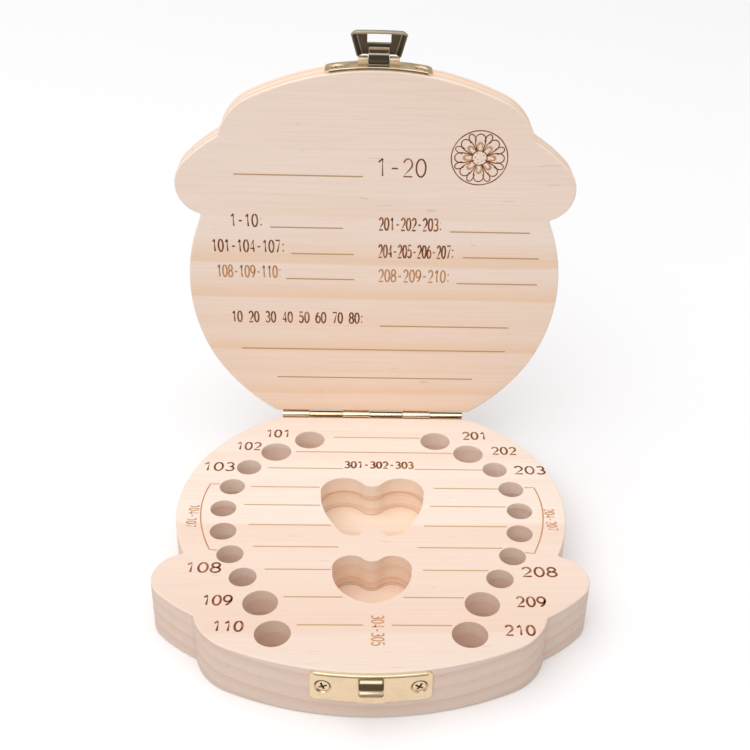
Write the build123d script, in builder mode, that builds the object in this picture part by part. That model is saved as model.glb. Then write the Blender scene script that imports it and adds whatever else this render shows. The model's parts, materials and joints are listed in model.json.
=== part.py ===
from build123d import *

import os
from math import asin, cos, sin, sqrt

# Keepsake box for milk teeth: a drilled block and a lid of pine with one outline, a brass hinge at the
# back and a brass lever latch at the front. Millimetres, X to the right, Y to the back, Z up. The origin
# is the middle of the block's underside. The lid stands open and the lever stands up, as they rest.

os.makedirs("parts", exist_ok=True)

# Boards
width = 126.6
depth = 120.0
block_t = 17.0
lid_t = 10.0
edge_ease = 0.5
crease_r = 0.8
closed_gap = 0.3
overrun = 1.0

# The outline's right half, from the back edge round to the front, as shares of half the width and of
# the depth. Each arc ends where the next one starts.
back_corner_shares = (0.529, 0.0)
shoulder_arc_shares = ((0.705, 0.077), (0.845, 0.175))
cheek_arc_shares = ((0.957, 0.392), (0.875, 0.608))
lobe_side_arc_shares = ((0.990, 0.662), (0.962, 0.746))
lobe_front_arc_shares = ((0.877, 0.788), (0.776, 0.825))
fringe_corner_arc_shares = ((0.717, 0.887), (0.616, 0.927))
fringe_middle_shares = (0.0, 1.0)

# Wells, drilled with two drills. The shares are of half the width and of the depth.
molar_d = 10.0
small_tooth_d = 8.0
well_depth = 11.0
molar_shares = ((0.336, 0.117), (0.506, 0.177), (0.492, 0.783), (0.424, 0.883))
small_tooth_shares = (
    (0.636, 0.250),
    (0.704, 0.338),
    (0.729, 0.431),
    (0.711, 0.523),
    (0.660, 0.611),
    (0.586, 0.694),
)

# The large pocket, milled in two passes that leave a fine ledge. The shares of its outline are of half
# its width and of its length, from its back to its front.
large_pocket_w = 32.7
large_pocket_l = 29.1
large_pocket_back_share = 0.294
large_pocket_first_pass = 5.4
large_pocket_depth = 11.5
pocket_ledge = 0.25
large_notch_shares = (0.0, 0.155)
large_tip_arc_shares = ((0.101, 0.142), (0.190, 0.101))
large_lobe_arc_shares = ((0.55, 0.0), (0.997, 0.30))
large_flank_arc_shares = ((0.917, 0.581), (0.691, 0.842))
large_corner_arc_shares = ((0.544, 0.962), (0.33, 1.0))
large_turn_arc_shares = ((0.245, 0.986), (0.196, 0.948))
large_bump_shares = (0.0, 0.852)

# The small heart-shaped pocket, in the same terms
small_pocket_w = 23.0
small_pocket_l = 20.4
small_pocket_back_share = 0.612
small_pocket_first_pass = 10.4
small_pocket_depth = 11.2
small_notch_shares = (0.0, 0.13)
small_tip_arc_shares = ((0.122, 0.116), (0.235, 0.071))
small_lobe_top_arc_shares = ((0.370, 0.0175), (0.522, 0.0))
small_lobe_side_arc_shares = ((0.869, 0.081), (1.0, 0.338))
small_flank_arc_shares = ((0.809, 0.72), (0.0, 1.0))

# Hinge
open_deg = 91.0
barrel_r = 1.3
barrel_wood_gap = 0.2
hinge_pin_r = 0.6
pin_play = 0.05
leaf_t = 0.65
leaf_reach = 8.5
lid_knuckle_l = 9.3
base_knuckle_l = 11.4
knuckle_gap = 0.15
knuckle_pairs = 3

# Nails of the hinge
nail_end_inset = 9.4
nail_reach = 5.4
nail_head_r = 1.5
nail_head_h = 0.5
nail_head_round = 0.3
nail_shank_r = 0.6
nail_l = 6.0

# Plates of the latch, bent round the front edges
plate_w = 32.4
plate_t = 0.7
plate_gap = 0.05
plate_inset = 0.4
plate_corner_r = 1.8
catch_h = 10.0
latch_h = 9.2
bead_r = 0.4

# Screws of the plates, sunk in dimples of the plates
screw_end_inset = 3.5
screw_head_r = 1.75
screw_head_sink = 0.25
screw_crown_h = 0.3
screw_shank_r = 0.9
screw_tip = 0.6
screw_l = 7.5
cross_l = 2.1
cross_w = 0.5
cross_d = 0.4
hole_play = 0.03

# Latch pivot and its knuckles
latch_up = 3.6
latch_out = 2.3
latch_pin_r = 0.6
latch_knuckle_r = 1.3
latch_neck_h = 1.3
latch_knuckle_l = 3.0
strap_w = 6.2
strap_play = 0.15

# Lever, measured from its pin towards its free end
lever_deg = 65.0
lever_t = 0.55
lever_near = 1.7
lever_far = 10.1
lever_near_rim_w = 13.3
lever_far_rim_w = 16.9
lever_near_flat_w = 10.6
lever_far_flat_w = 14.3
lever_rim_clear = 1.3
window_near = 5.8
window_far = 9.5
window_w = 7.1
lip_l = 1.3
lip_corner_r = 1.1

# Catch nose, which the lever's window closes over
nose_w = 6.7
nose_shelf_h = 1.6
nose_reach = 3.9
nose_brow_share = 0.85
nose_chin_share = 0.93
nose_brow_drop_share = 0.48
nose_tip_drop_share = 0.70
nose_play = 0.3
tongue_w = 7.3
tongue_h = 0.6
tongue_corner_r = 0.5

# Derived places
back_y = depth / 2
front_y = -depth / 2
lid_z = block_t + closed_gap
hinge_y = back_y + barrel_r + barrel_wood_gap
hinge_z = block_t + closed_gap / 2
hinge_l = knuckle_pairs * (lid_knuckle_l + base_knuckle_l) + (2 * knuckle_pairs - 1) * knuckle_gap
nail_x = hinge_l / 2 - nail_end_inset
fringe_half = fringe_corner_arc_shares[1][0] * width / 2
fringe_rise = (1 - fringe_corner_arc_shares[1][1]) * depth
front_r = (fringe_half**2 + fringe_rise**2) / (2 * fringe_rise)
front_centre = (0, front_y + front_r)
plate_y = front_y - plate_gap
plate_r = front_r + plate_gap
latch_y = front_y - latch_out
latch_z = lid_z + latch_up
screw_x = plate_w / 2 - screw_end_inset
screw_rim_h = plate_t - screw_head_sink
screw_neck_h = screw_rim_h - (screw_head_r - screw_shank_r)
strap_r = latch_pin_r + pin_play + lever_t
catch_z = block_t - plate_inset - catch_h / 2
latch_plate_z = lid_z + plate_inset + latch_h / 2
nose_under = window_far - latch_up - closed_gap - nose_play

# The lid turns about the hinge axis, and the lever about the latch axis, from the closed pose
hinge_axis_at = Location((0, hinge_y, hinge_z))
latch_axis_at = Location((0, latch_y, latch_z))
lid_turn = hinge_axis_at * Location((0, 0, 0), (-open_deg, 0, 0)) * hinge_axis_at.inverse()
lever_turn = latch_axis_at * Location((0, 0, 0), (-lever_deg, 0, 0)) * latch_axis_at.inverse()


def stays(plane):
    """A plane of the block, which doesn't move."""
    return plane


def opened(plane):
    """A plane of the closed lid, carried to the open pose."""
    return Plane(lid_turn * plane.location)


def lifted(plane):
    """A plane of the closed lever, carried to the open and lifted pose."""
    return Plane(lid_turn * lever_turn * plane.location)


def across(x, y, z):
    """A plane that faces +X, with its own x to the back and its y up."""
    return Plane(origin=(x, y, z), x_dir=(0, 1, 0), z_dir=(1, 0, 0))


def on_back(height):
    """A plane against the flat back edge that faces out, with its y up."""
    return Plane(origin=(0, back_y, height), x_dir=(-1, 0, 0), z_dir=(0, 1, 0))


def on_front(x, height):
    """A plane in the back of a plate on the curved front edge, that faces out, with its x along it."""
    bearing = asin(x / plate_r)
    out = (sin(bearing), -cos(bearing), 0)
    foot = (front_centre[0] + plate_r * out[0], front_centre[1] + plate_r * out[1], height)
    return Plane(origin=foot, x_dir=(cos(bearing), sin(bearing), 0), z_dir=out)


def out_of(plane):
    """The axis along which a plane faces."""
    return Axis(plane.origin, plane.z_dir)


def through(plane):
    """A plane that cuts a plane along its own x, with its y the way that the plane faces."""
    return Plane(origin=plane.origin, x_dir=plane.x_dir, z_dir=plane.x_dir.cross(plane.z_dir))


def keep(piece, name):
    """Label a finished piece and write it."""
    piece.part.label = name
    export_step(piece.part, f"parts/{name}.step")


# Outlines


def board_point(shares):
    """A point on the right half of the boards' outline."""
    side, back = shares
    return (side * width / 2, back_y - back * depth)


def board_arc(start_shares, arc_shares):
    """An arc of the outline, from a point through a second to a third."""
    middle_shares, end_shares = arc_shares
    ThreePointArc(board_point(start_shares), board_point(middle_shares), board_point(end_shares))


def board_outline():
    """The outline that the block and the lid share."""
    arcs = (
        shoulder_arc_shares,
        cheek_arc_shares,
        lobe_side_arc_shares,
        lobe_front_arc_shares,
        fringe_corner_arc_shares,
    )
    starts = (back_corner_shares,) + tuple(arc[1] for arc in arcs)
    with BuildSketch() as outline:
        with BuildLine():
            for start, arc in zip(starts, arcs):
                board_arc(start, arc)
            mirror(about=Plane.YZ)
            corner_x, corner_y = board_point(back_corner_shares)
            Line((-corner_x, corner_y), (corner_x, corner_y))
            fringe_x, fringe_y = board_point(starts[-1])
            ThreePointArc((-fringe_x, fringe_y), board_point(fringe_middle_shares), (fringe_x, fringe_y))
        make_face()
        # From the front, the rows of corners are the fringe's, both sides of the lobe, and the cheek's
        crease_rows = outline.vertices().group_by(Axis.Y)[1:-2]
        fillet([corner for row in crease_rows for corner in row], crease_r)
    return outline.sketch


def board(board_t):
    """A board with its underside at height 0 and all its edges eased."""
    with BuildPart() as made:
        with BuildSketch():
            add(board_outline())
        extrude(amount=board_t)
        faces = made.faces().sort_by(Axis.Z)
        fillet(faces[0].edges() + faces[-1].edges(), edge_ease)
    return made.part


def pocket_outline(pocket_w, pocket_l, back_share, notch_shares, arcs, end_shares=None):
    """A pocket's outline: arcs from the notch at its back round to its front, mirrored."""

    def place(shares):
        side, forward = shares
        return (side * pocket_w / 2, back_y - back_share * depth - forward * pocket_l)

    starts = (notch_shares,) + tuple(arc[1] for arc in arcs)
    with BuildSketch() as outline:
        with BuildLine():
            for start, (middle, end) in zip(starts, arcs):
                ThreePointArc(place(start), place(middle), place(end))
            mirror(about=Plane.YZ)
            if end_shares:
                foot_x, foot_y = place(starts[-1])
                ThreePointArc((-foot_x, foot_y), place(end_shares), (foot_x, foot_y))
        make_face()
    return outline.sketch


large_pocket = pocket_outline(
    large_pocket_w,
    large_pocket_l,
    large_pocket_back_share,
    large_notch_shares,
    (
        large_tip_arc_shares,
        large_lobe_arc_shares,
        large_flank_arc_shares,
        large_corner_arc_shares,
        large_turn_arc_shares,
    ),
    large_bump_shares,
)
small_pocket = pocket_outline(
    small_pocket_w,
    small_pocket_l,
    small_pocket_back_share,
    small_notch_shares,
    (
        small_tip_arc_shares,
        small_lobe_top_arc_shares,
        small_lobe_side_arc_shares,
        small_flank_arc_shares,
    ),
)


def both_sides(shares_list):
    """The places of a list of wells on the right, and of their mirror images."""
    places = [board_point(shares) for shares in shares_list]
    return places + [(-x, y) for x, y in places]


# Boards

nail_offsets = {"left": -nail_x, "middle": 0, "right": nail_x}
screw_offsets = {"left": -screw_x, "right": screw_x}
nail_heights = {"base": hinge_z - nail_reach, "lid": hinge_z + nail_reach}


def screw_bore(seat):
    """The hole of a screw through a plate that lies on the seat: straight, then widened for the head."""
    foot_h = plate_t - screw_l - hole_play
    bore_r = screw_shank_r + hole_play
    widening = plate_t + overrun - screw_neck_h
    with BuildPart() as bore:
        with BuildSketch(through(seat)):
            with BuildLine():
                Polyline(
                    (0, foot_h),
                    (bore_r, foot_h),
                    (bore_r, screw_neck_h),
                    (bore_r + widening, screw_neck_h + widening),
                    (0, screw_neck_h + widening),
                    close=True,
                )
            make_face()
        revolve(axis=out_of(seat))
    return bore.part


with BuildPart() as base_block:
    add(board(block_t))
    for drill_d, shares_list in ((molar_d, molar_shares), (small_tooth_d, small_tooth_shares)):
        with BuildSketch(Plane.XY.offset(block_t)):
            with Locations(*both_sides(shares_list)):
                Circle(drill_d / 2)
        extrude(amount=-well_depth, mode=Mode.SUBTRACT)
    for pocket, first_pass, last_pass in (
        (large_pocket, large_pocket_first_pass, large_pocket_depth),
        (small_pocket, small_pocket_first_pass, small_pocket_depth),
    ):
        with BuildSketch(Plane.XY.offset(block_t)):
            add(pocket)
        extrude(amount=-first_pass, mode=Mode.SUBTRACT)
        with BuildSketch(Plane.XY.offset(block_t)):
            add(pocket)
            offset(amount=-pocket_ledge, mode=Mode.REPLACE)
        extrude(amount=-last_pass, mode=Mode.SUBTRACT)
    with BuildSketch(on_back(nail_heights["base"])):
        with Locations(*[(x, 0) for x in nail_offsets.values()]):
            Circle(nail_shank_r + hole_play)
    extrude(amount=-nail_l, mode=Mode.SUBTRACT)
    for x in screw_offsets.values():
        add(screw_bore(on_front(x, catch_z)), mode=Mode.SUBTRACT)
keep(base_block, "base_block")

with BuildPart() as lid_board:
    add(lid_turn * Location((0, 0, lid_z)) * board(lid_t))
    with BuildSketch(opened(on_back(nail_heights["lid"]))):
        with Locations(*[(x, 0) for x in nail_offsets.values()]):
            Circle(nail_shank_r + hole_play)
    extrude(amount=-nail_l, mode=Mode.SUBTRACT)
    for x in screw_offsets.values():
        add(screw_bore(opened(on_front(x, latch_plate_z))), mode=Mode.SUBTRACT)
keep(lid_board, "lid_board")


# Hinge


def hinge_leaf(pose, up, knuckle_xs, knuckle_l):
    """A leaf against the back edge, with its knuckles round the hinge axis. It goes up or down by `up`."""
    plate_start = barrel_r + knuckle_gap
    plate_h = leaf_reach - plate_start
    with BuildPart() as leaf:
        with BuildSketch(pose(on_back(hinge_z))):
            with Locations((0, up * (plate_start + plate_h / 2))):
                Rectangle(hinge_l, plate_h)
            with Locations(*[(x, up * nail_reach) for x in nail_offsets.values()]):
                Circle(nail_shank_r + hole_play, mode=Mode.SUBTRACT)
        extrude(amount=leaf_t)
        for x in knuckle_xs:
            with BuildSketch(pose(across(x, hinge_y, hinge_z))):
                Circle(barrel_r)
                with Locations((back_y + leaf_t / 2 - hinge_y, up * plate_start / 2)):
                    Rectangle(leaf_t, plate_start)
                Circle(hinge_pin_r + pin_play, mode=Mode.SUBTRACT)
            extrude(amount=knuckle_l)
    return leaf


pair_l = lid_knuckle_l + base_knuckle_l + 2 * knuckle_gap
lid_knuckle_xs = [-hinge_l / 2 + pair * pair_l for pair in range(knuckle_pairs)]
base_knuckle_xs = [x + lid_knuckle_l + knuckle_gap for x in lid_knuckle_xs]

hinge_base_leaf = hinge_leaf(stays, -1, base_knuckle_xs, base_knuckle_l)
keep(hinge_base_leaf, "hinge_base_leaf")

hinge_lid_leaf = hinge_leaf(opened, 1, lid_knuckle_xs, lid_knuckle_l)
keep(hinge_lid_leaf, "hinge_lid_leaf")

with BuildPart() as hinge_pin:
    with BuildSketch(across(-hinge_l / 2, hinge_y, hinge_z)):
        Circle(hinge_pin_r)
    extrude(amount=hinge_l)
keep(hinge_pin, "hinge_pin")


def nail(seat, x):
    """A round-headed nail through a leaf that lies on the seat."""
    out = out_of(seat)
    with BuildPart() as made:
        with BuildSketch(seat.offset(leaf_t)):
            with Locations((x, 0)):
                Circle(nail_head_r)
        extrude(amount=nail_head_h)
        fillet(made.edges().sort_by(out)[-1], nail_head_round)
        with BuildSketch(seat.offset(leaf_t)):
            with Locations((x, 0)):
                Circle(nail_shank_r)
        extrude(amount=-nail_l)
    return made


for side, x in nail_offsets.items():
    # On the back edge a plane's own x runs to the left
    keep(nail(on_back(nail_heights["base"]), -x), f"hinge_base_nail_{side}")
    keep(nail(opened(on_back(nail_heights["lid"])), -x), f"hinge_lid_nail_{side}")


# Latch


with BuildPart() as catch_plate:
    with BuildSketch(Plane.XY.offset(catch_z - catch_h / 2 - tongue_h)):
        with Locations(front_centre):
            Circle(plate_r + plate_t)
            Circle(plate_r, mode=Mode.SUBTRACT)
    extrude(amount=catch_h + tongue_h)
    with Locations((*front_centre, catch_z + catch_h / 2 - bead_r)):
        Torus(plate_r + plate_t, bead_r)
    with BuildSketch(on_front(0, catch_z)):
        RectangleRounded(plate_w, catch_h, plate_corner_r)
        with Locations((0, -tongue_h)):
            RectangleRounded(tongue_w, catch_h, tongue_corner_r)
    extrude(amount=plate_t + bead_r + overrun, both=True, mode=Mode.INTERSECT)
    with BuildSketch(across(-nose_w / 2, plate_y, block_t)):
        with BuildLine():
            nose_h = nose_under - nose_shelf_h
            brow = (-nose_reach * nose_brow_share, -nose_shelf_h - nose_brow_drop_share * nose_h)
            tip = (-nose_reach, -nose_shelf_h - nose_tip_drop_share * nose_h)
            chin = (-nose_reach * nose_chin_share, -nose_under)
            Polyline(chin, (0, -nose_under), (0, -nose_shelf_h), (-plate_t, -nose_shelf_h), brow)
            ThreePointArc(brow, tip, chin)
        make_face()
    extrude(amount=nose_w)
    for x in screw_offsets.values():
        add(screw_bore(on_front(x, catch_z)), mode=Mode.SUBTRACT)
keep(catch_plate, "catch_plate")

knuckle_inner_x = strap_w / 2 + strap_play
latch_neck_l = latch_out - plate_gap

with BuildPart() as latch_plate:
    with BuildSketch(opened(Plane.XY.offset(latch_plate_z - latch_h / 2))):
        with Locations(front_centre):
            Circle(plate_r + plate_t)
            Circle(plate_r, mode=Mode.SUBTRACT)
    extrude(amount=latch_h)
    with Locations(opened(Plane((*front_centre, latch_plate_z - latch_h / 2 + bead_r)))):
        Torus(plate_r + plate_t, bead_r)
    with BuildSketch(opened(on_front(0, latch_plate_z))):
        RectangleRounded(plate_w, latch_h, plate_corner_r)
    extrude(amount=plate_t + bead_r + overrun, both=True, mode=Mode.INTERSECT)
    for x in (-knuckle_inner_x - latch_knuckle_l, knuckle_inner_x):
        with BuildSketch(opened(across(x, latch_y, latch_z))):
            Circle(latch_knuckle_r)
            with Locations((latch_neck_l / 2, 0)):
                Rectangle(latch_neck_l, latch_neck_h)
            Circle(latch_pin_r + pin_play, mode=Mode.SUBTRACT)
        extrude(amount=latch_knuckle_l)
    for x in screw_offsets.values():
        add(screw_bore(opened(on_front(x, latch_plate_z))), mode=Mode.SUBTRACT)
keep(latch_plate, "latch_plate")


def screw(seat):
    """A cross-headed screw whose crowned head is sunk in a plate that lies on the seat."""
    foot_h = plate_t - screw_l
    crown_h = screw_rim_h + screw_crown_h
    crown_r = (screw_head_r**2 + screw_crown_h**2) / (2 * screw_crown_h)
    with BuildPart() as made:
        with BuildSketch(through(seat)):
            with BuildLine():
                Polyline(
                    (0, crown_h),
                    (0, foot_h),
                    (screw_shank_r - screw_tip, foot_h),
                    (screw_shank_r, foot_h + screw_tip),
                    (screw_shank_r, screw_neck_h),
                    (screw_head_r, screw_rim_h),
                )
                RadiusArc((screw_head_r, screw_rim_h), (0, crown_h), -crown_r)
            make_face()
        revolve(axis=out_of(seat))
        with BuildSketch(seat.offset(crown_h)):
            Rectangle(cross_l, cross_w)
            Rectangle(cross_w, cross_l)
        extrude(amount=-cross_d, mode=Mode.SUBTRACT)
    return made


for side, x in screw_offsets.items():
    keep(screw(on_front(x, catch_z)), f"catch_screw_{side}")
    keep(screw(opened(on_front(x, latch_plate_z))), f"latch_screw_{side}")

latch_pin_l = 2 * (knuckle_inner_x + latch_knuckle_l)

with BuildPart() as latch_pin:
    with BuildSketch(opened(across(-latch_pin_l / 2, latch_y, latch_z))):
        Circle(latch_pin_r)
    extrude(amount=latch_pin_l)
keep(latch_pin, "latch_pin")


def lever_section(flat_w, rim_w):
    """The lever's channel at one place along it: its flat, and a splayed flange down each side.

    Its own x is across the lever and its y faces out, from the pin's axis.
    """
    rim_y = lever_rim_clear - latch_out
    rise = strap_r - rim_y
    run = (rim_w - flat_w) / 2
    flange_w = lever_t * sqrt(run**2 + rise**2) / rise
    inside_x = flat_w / 2 + lever_t * run / rise - flange_w
    right = [
        (flat_w / 2, strap_r),
        (rim_w / 2, rim_y),
        (rim_w / 2 - flange_w, rim_y),
        (inside_x, strap_r - lever_t),
    ]
    return right + [(-x, y) for x, y in reversed(right)]


def below_pin(distance):
    """A plane across the lever, at a distance from its pin, that faces the pin."""
    return Plane(origin=(0, latch_y, latch_z - distance), x_dir=(-1, 0, 0), z_dir=(0, 0, 1))


def on_lever(distance):
    """A plane in the lever's outer face that faces out, at a distance from its pin."""
    return Plane(origin=(0, latch_y - strap_r, latch_z - distance), x_dir=(1, 0, 0), z_dir=(0, -1, 0))


latch_lever_end = lifted(below_pin(lever_far))

with BuildPart() as latch_lever:
    for distance, flat_w, rim_w in (
        (lever_near, lever_near_flat_w, lever_near_rim_w),
        (lever_far, lever_far_flat_w, lever_far_rim_w),
    ):
        with BuildSketch(lifted(below_pin(distance))):
            with BuildLine():
                Polyline(*lever_section(flat_w, rim_w), close=True)
            make_face()
    loft(ruled=True)
    with BuildSketch(lifted(across(-strap_w / 2, latch_y, latch_z))):
        Circle(strap_r)
        with Locations((-strap_r + lever_t / 2, -lever_near / 2)):
            Rectangle(lever_t, lever_near)
        Circle(latch_pin_r + pin_play, mode=Mode.SUBTRACT)
    extrude(amount=strap_w)
    with BuildSketch(lifted(on_lever((window_near + window_far) / 2))):
        Rectangle(window_w, window_far - window_near)
    extrude(amount=-lever_t, mode=Mode.SUBTRACT)
    with BuildSketch(latch_lever_end):
        with Locations((0, strap_r + (lip_l - lever_t) / 2)):
            Rectangle(lever_far_flat_w, lip_l + lever_t)
    extrude(amount=lever_t)
    lip_ends = latch_lever.edges().filter_by(Axis(latch_lever_end.origin, latch_lever_end.z_dir))
    fillet(lip_ends.sort_by(Axis(latch_lever_end.origin, latch_lever_end.y_dir))[-2:], lip_corner_r)
keep(latch_lever, "latch_lever")
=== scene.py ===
"""A keepsake box for milk teeth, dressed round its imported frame: pine boards, engraving and pressed brass."""

import json
from math import radians

import bmesh
import bpy
import numpy as np
from mathutils import Matrix, Vector


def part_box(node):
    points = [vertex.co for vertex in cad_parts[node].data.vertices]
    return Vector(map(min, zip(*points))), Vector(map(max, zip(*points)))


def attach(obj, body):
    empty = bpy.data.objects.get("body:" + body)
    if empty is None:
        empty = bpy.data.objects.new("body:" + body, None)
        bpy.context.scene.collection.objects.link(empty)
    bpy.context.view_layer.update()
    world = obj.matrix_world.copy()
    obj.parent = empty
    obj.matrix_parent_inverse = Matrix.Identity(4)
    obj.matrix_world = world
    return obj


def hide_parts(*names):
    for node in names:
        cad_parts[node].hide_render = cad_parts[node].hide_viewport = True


bl_info = {
    "name": "Milk tooth box",
    "version": (1, 0, 0),
    "blender": (4, 5, 0),
    "location": "View3D > Sidebar > Tooth Box",
    "description": "Pine boards, engraving, brass hinge and lever latch of a milk tooth box",
    "category": "Object",
}

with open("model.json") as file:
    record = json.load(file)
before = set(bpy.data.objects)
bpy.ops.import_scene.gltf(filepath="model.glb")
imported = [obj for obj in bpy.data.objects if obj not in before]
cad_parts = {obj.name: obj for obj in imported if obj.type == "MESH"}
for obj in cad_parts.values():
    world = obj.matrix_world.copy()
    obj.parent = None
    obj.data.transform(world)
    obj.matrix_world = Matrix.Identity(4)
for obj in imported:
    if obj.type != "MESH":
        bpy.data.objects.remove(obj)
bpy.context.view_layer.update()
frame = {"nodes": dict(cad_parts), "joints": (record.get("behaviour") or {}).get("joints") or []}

MM = 0.001
JOINTS = {joint["name"]: joint for joint in frame["joints"]}
BLOCK_LOW, BLOCK_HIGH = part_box("base_block")


# Sizes and colours


def size(name, description, default_mm):
    """A length that a user may change, given in millimetres."""
    return bpy.props.FloatProperty(
        name=name, description=description, default=default_mm * MM, min=0, unit="LENGTH", precision=5
    )


def share(name, description, default, top=1.0):
    """A plain number that a user may change."""
    return bpy.props.FloatProperty(name=name, description=description, default=default, min=0, max=top)


def year(name, description, default):
    """A whole number that a user may change."""
    return bpy.props.IntProperty(name=name, description=description, default=default, min=0)


def turn(name, description, default_deg):
    """An angle that a user may change, given in degrees."""
    default = radians(default_deg)
    return bpy.props.FloatProperty(name=name, description=description, default=default, subtype="ANGLE")


def place(name, description, default_mm):
    """A place in the row frame, given in millimetres."""
    return bpy.props.FloatVectorProperty(
        name=name,
        description=description,
        default=[value * MM for value in default_mm],
        size=3,
        subtype="TRANSLATION",
        unit="LENGTH",
        precision=5,
    )


def colour(name, description, red, green, blue):
    """A colour, given as the 0 to 255 values that a screen shows, kept as linear light."""
    linear = [
        value / 255 / 12.92 if value / 255 <= 0.04045 else ((value / 255 + 0.055) / 1.055) ** 2.4
        for value in (red, green, blue)
    ]
    return bpy.props.FloatVectorProperty(
        name=name, description=description, default=linear, size=3, min=0, max=1, subtype="COLOR"
    )


class PineSettings(bpy.types.PropertyGroup):
    """The wood of the two boards."""

    block_early: colour("Block early wood", "Pale growth of the block", 254, 240, 228)
    block_late: colour("Block late wood", "Darker growth bands of the block", 243, 209, 188)
    lid_early: colour("Lid early wood", "Pale growth of the lid", 255, 237, 225)
    lid_late: colour("Lid late wood", "Darker growth bands of the lid", 247, 206, 166)
    block_ring_gap: size("Block ring gap", "Width of one year's growth in the block", 4.7)
    lid_ring_gap: size("Lid ring gap", "Width of one year's growth in the lid", 4.5)
    ring_waver: size("Ring waver", "How far the rings stray from round", 1.9)
    block_pith: place("Block pith", "The middle of the rings seen in the block", (0, -22, -145.5))
    lid_pith: place("Lid pith", "The middle of the rings seen in the open lid", (0, 208.2, 122))
    block_years: year("Block years", "Picks which years of the block are broad", 1356)
    lid_years: year("Lid years", "Picks which years of the lid are broad", 2968)
    # Painted shade: each board darkens and yellows along it, the block towards its front and the lid towards
    # its hinge
    block_painted_shade_ramp: share("Block shading", "How far the block yellows towards its front", 0.4)
    lid_painted_shade_ramp: share("Lid shading", "How far the lid yellows towards its hinge", 0.14)
    # Partly painted shade: darker lines along each pocket's ledge, and shade painted into the crease where its
    # walls meet its floor
    ledge_line_and_crease_shade: colour("Hollow", "Scorched line that a cutter leaves in a pocket", 150, 98, 64)
    # Painted light: a warm cast of bounced light, painted into the pockets' wood
    pocket: colour("Pocket", "Warm cast of the pockets", 255, 251, 243)
    # Painted shade: the three shares below darken the block's wood in the wells, low down and towards its front
    well: share("Well", "How much of its colour the wood keeps in the wells", 0.95)
    low: share("Low", "How much of its colour the wood keeps low down", 0.96)
    front: share("Front", "How much of its colour the wood keeps at the front", 0.935)


class EngravingSettings(bpy.types.PropertyGroup):
    """The burnt lines and figures."""

    dark_burn: colour("Dark burn", "Deeply burnt stroke", 118, 64, 32)
    light_burn: colour("Light burn", "Lightly burnt stroke", 204, 150, 108)
    wash: colour("Wash", "Evenly toasted patch of the flower", 214, 166, 134)
    rule: colour("Rule", "A ruled line, burnt with a weak beam", 196, 160, 112)
    rule_w: size("Rule width", "Width of a ruled line", 0.44)
    figure_w: size("Figure stroke", "Width of a figure's stroke", 0.68)
    turned_figure_w: size("Turned figure stroke", "Width of a stroke in the turned rows", 0.46)
    lid_figure_w: size("Lid figure stroke", "Width of a figure's stroke on the lid", 0.54)
    flower_w: size("Flower stroke", "Width of the flower's outline", 0.36)
    proud: size("Proud", "How far a stroke's char stands above the wood", 0.015)
    sunk: size("Sunk", "How deep a stroke reaches", 0.06)


class BrassSettings(bpy.types.PropertyGroup):
    """The plated sheet metal."""

    bright: colour("Bright brass", "Polished plating", 233, 209, 175)
    # Partly painted highlight: this colour lies on rubbed edges and also paints highlights on the lever's fold
    # and the lid's knuckles
    rubbed_and_highlight: colour("Worn edge", "Metal rubbed bright along an edge", 250, 238, 210)
    dull: colour("Dull brass", "Plating dulled by handling", 220, 195, 159)
    # Painted reflection: the lever's two dark colours stand in for the dark surroundings mirrored in its
    # plating
    shaded: colour("Lever brass", "Darker plating of the lever", 90, 84, 72)
    shaded_dull: colour("Lever dull brass", "Dulled plating of the lever", 68, 61, 53)
    lip: colour("Lever edge", "Cut edges of the lever", 122, 117, 95)
    # Painted shade: the dark colour laid where shade and dark reflections fall, in the screws' crosses, the
    # dimples, along the beads, on the nose and in the hinge's gaps
    painted_shade_colour: colour("Grime", "Dirt left in a screw's cross", 74, 64, 42)
    roughness: share("Roughness", "Roughness of the polished plating", 0.24)


class PlateSettings(bpy.types.PropertyGroup):
    """The two pressed plates of the latch."""

    bend_r: size("Bend radius", "Radius of the plates' backs, round the front edges", 91.2)
    sheet_t: size("Sheet", "Thickness of a plate", 0.7)
    ease: size("Edge ease", "Rounding of a plate's edges", 0.22)
    corner_r: size("Corner radius", "Radius of a plate's corners", 1.8)
    bead_r: size("Bead radius", "Radius of the bead along a plate's edge", 0.34)
    bead_end: size("Bead end", "Bare stretch at each end of the bead", 0.9)
    screw_inset: size("Screw inset", "From a plate's end to its screw", 3.5)
    bead_fade: size("Bead fade", "Length over which the bead rises at each end", 0.9)
    dimple_r: size("Dimple radius", "Radius of the dimple round a screw", 2.3)
    dimple_d: size("Dimple depth", "Depth of the dimple round a screw", 0.5)
    brow_h: size("Dimple brow", "Height of the raised ring round a dimple", 0.06)
    brow_w: size("Brow width", "Width of the raised ring round a dimple", 0.12)
    patch: size("Dimple patch", "Half the side of the patch that holds a dimple", 2.8)
    tongue_w: size("Tongue width", "Width of the tongue under the catch", 7.3)
    tongue_h: size("Tongue height", "How far the tongue reaches below the catch plate", 0.6)
    nose_w: size("Nose width", "Width of the catch's nose", 6.7)
    nose_shelf: size("Nose shelf", "From the block's top down to the nose", 1.6)
    nose_reach: size("Nose reach", "How far the nose stands out", 3.9)
    nose_under: size("Nose under", "From the block's top down to the nose's underside", 5.3)
    nose_ease: size("Nose ease", "Rounding of the nose's two ends", 0.7)
    knuckle_r: size("Knuckle radius", "Radius of a rolled knuckle", 1.3)
    knuckle_l: size("Knuckle length", "Length of a rolled knuckle", 3.0)
    knuckle_t: size("Knuckle sheet", "Thickness of a knuckle's sheet", 0.6)
    knuckle_ease: size("Knuckle ease", "Rounding of a knuckle's ends", 0.12)
    knuckle_play: size("Knuckle play", "From the lever's strap to a knuckle", 0.15)


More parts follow.
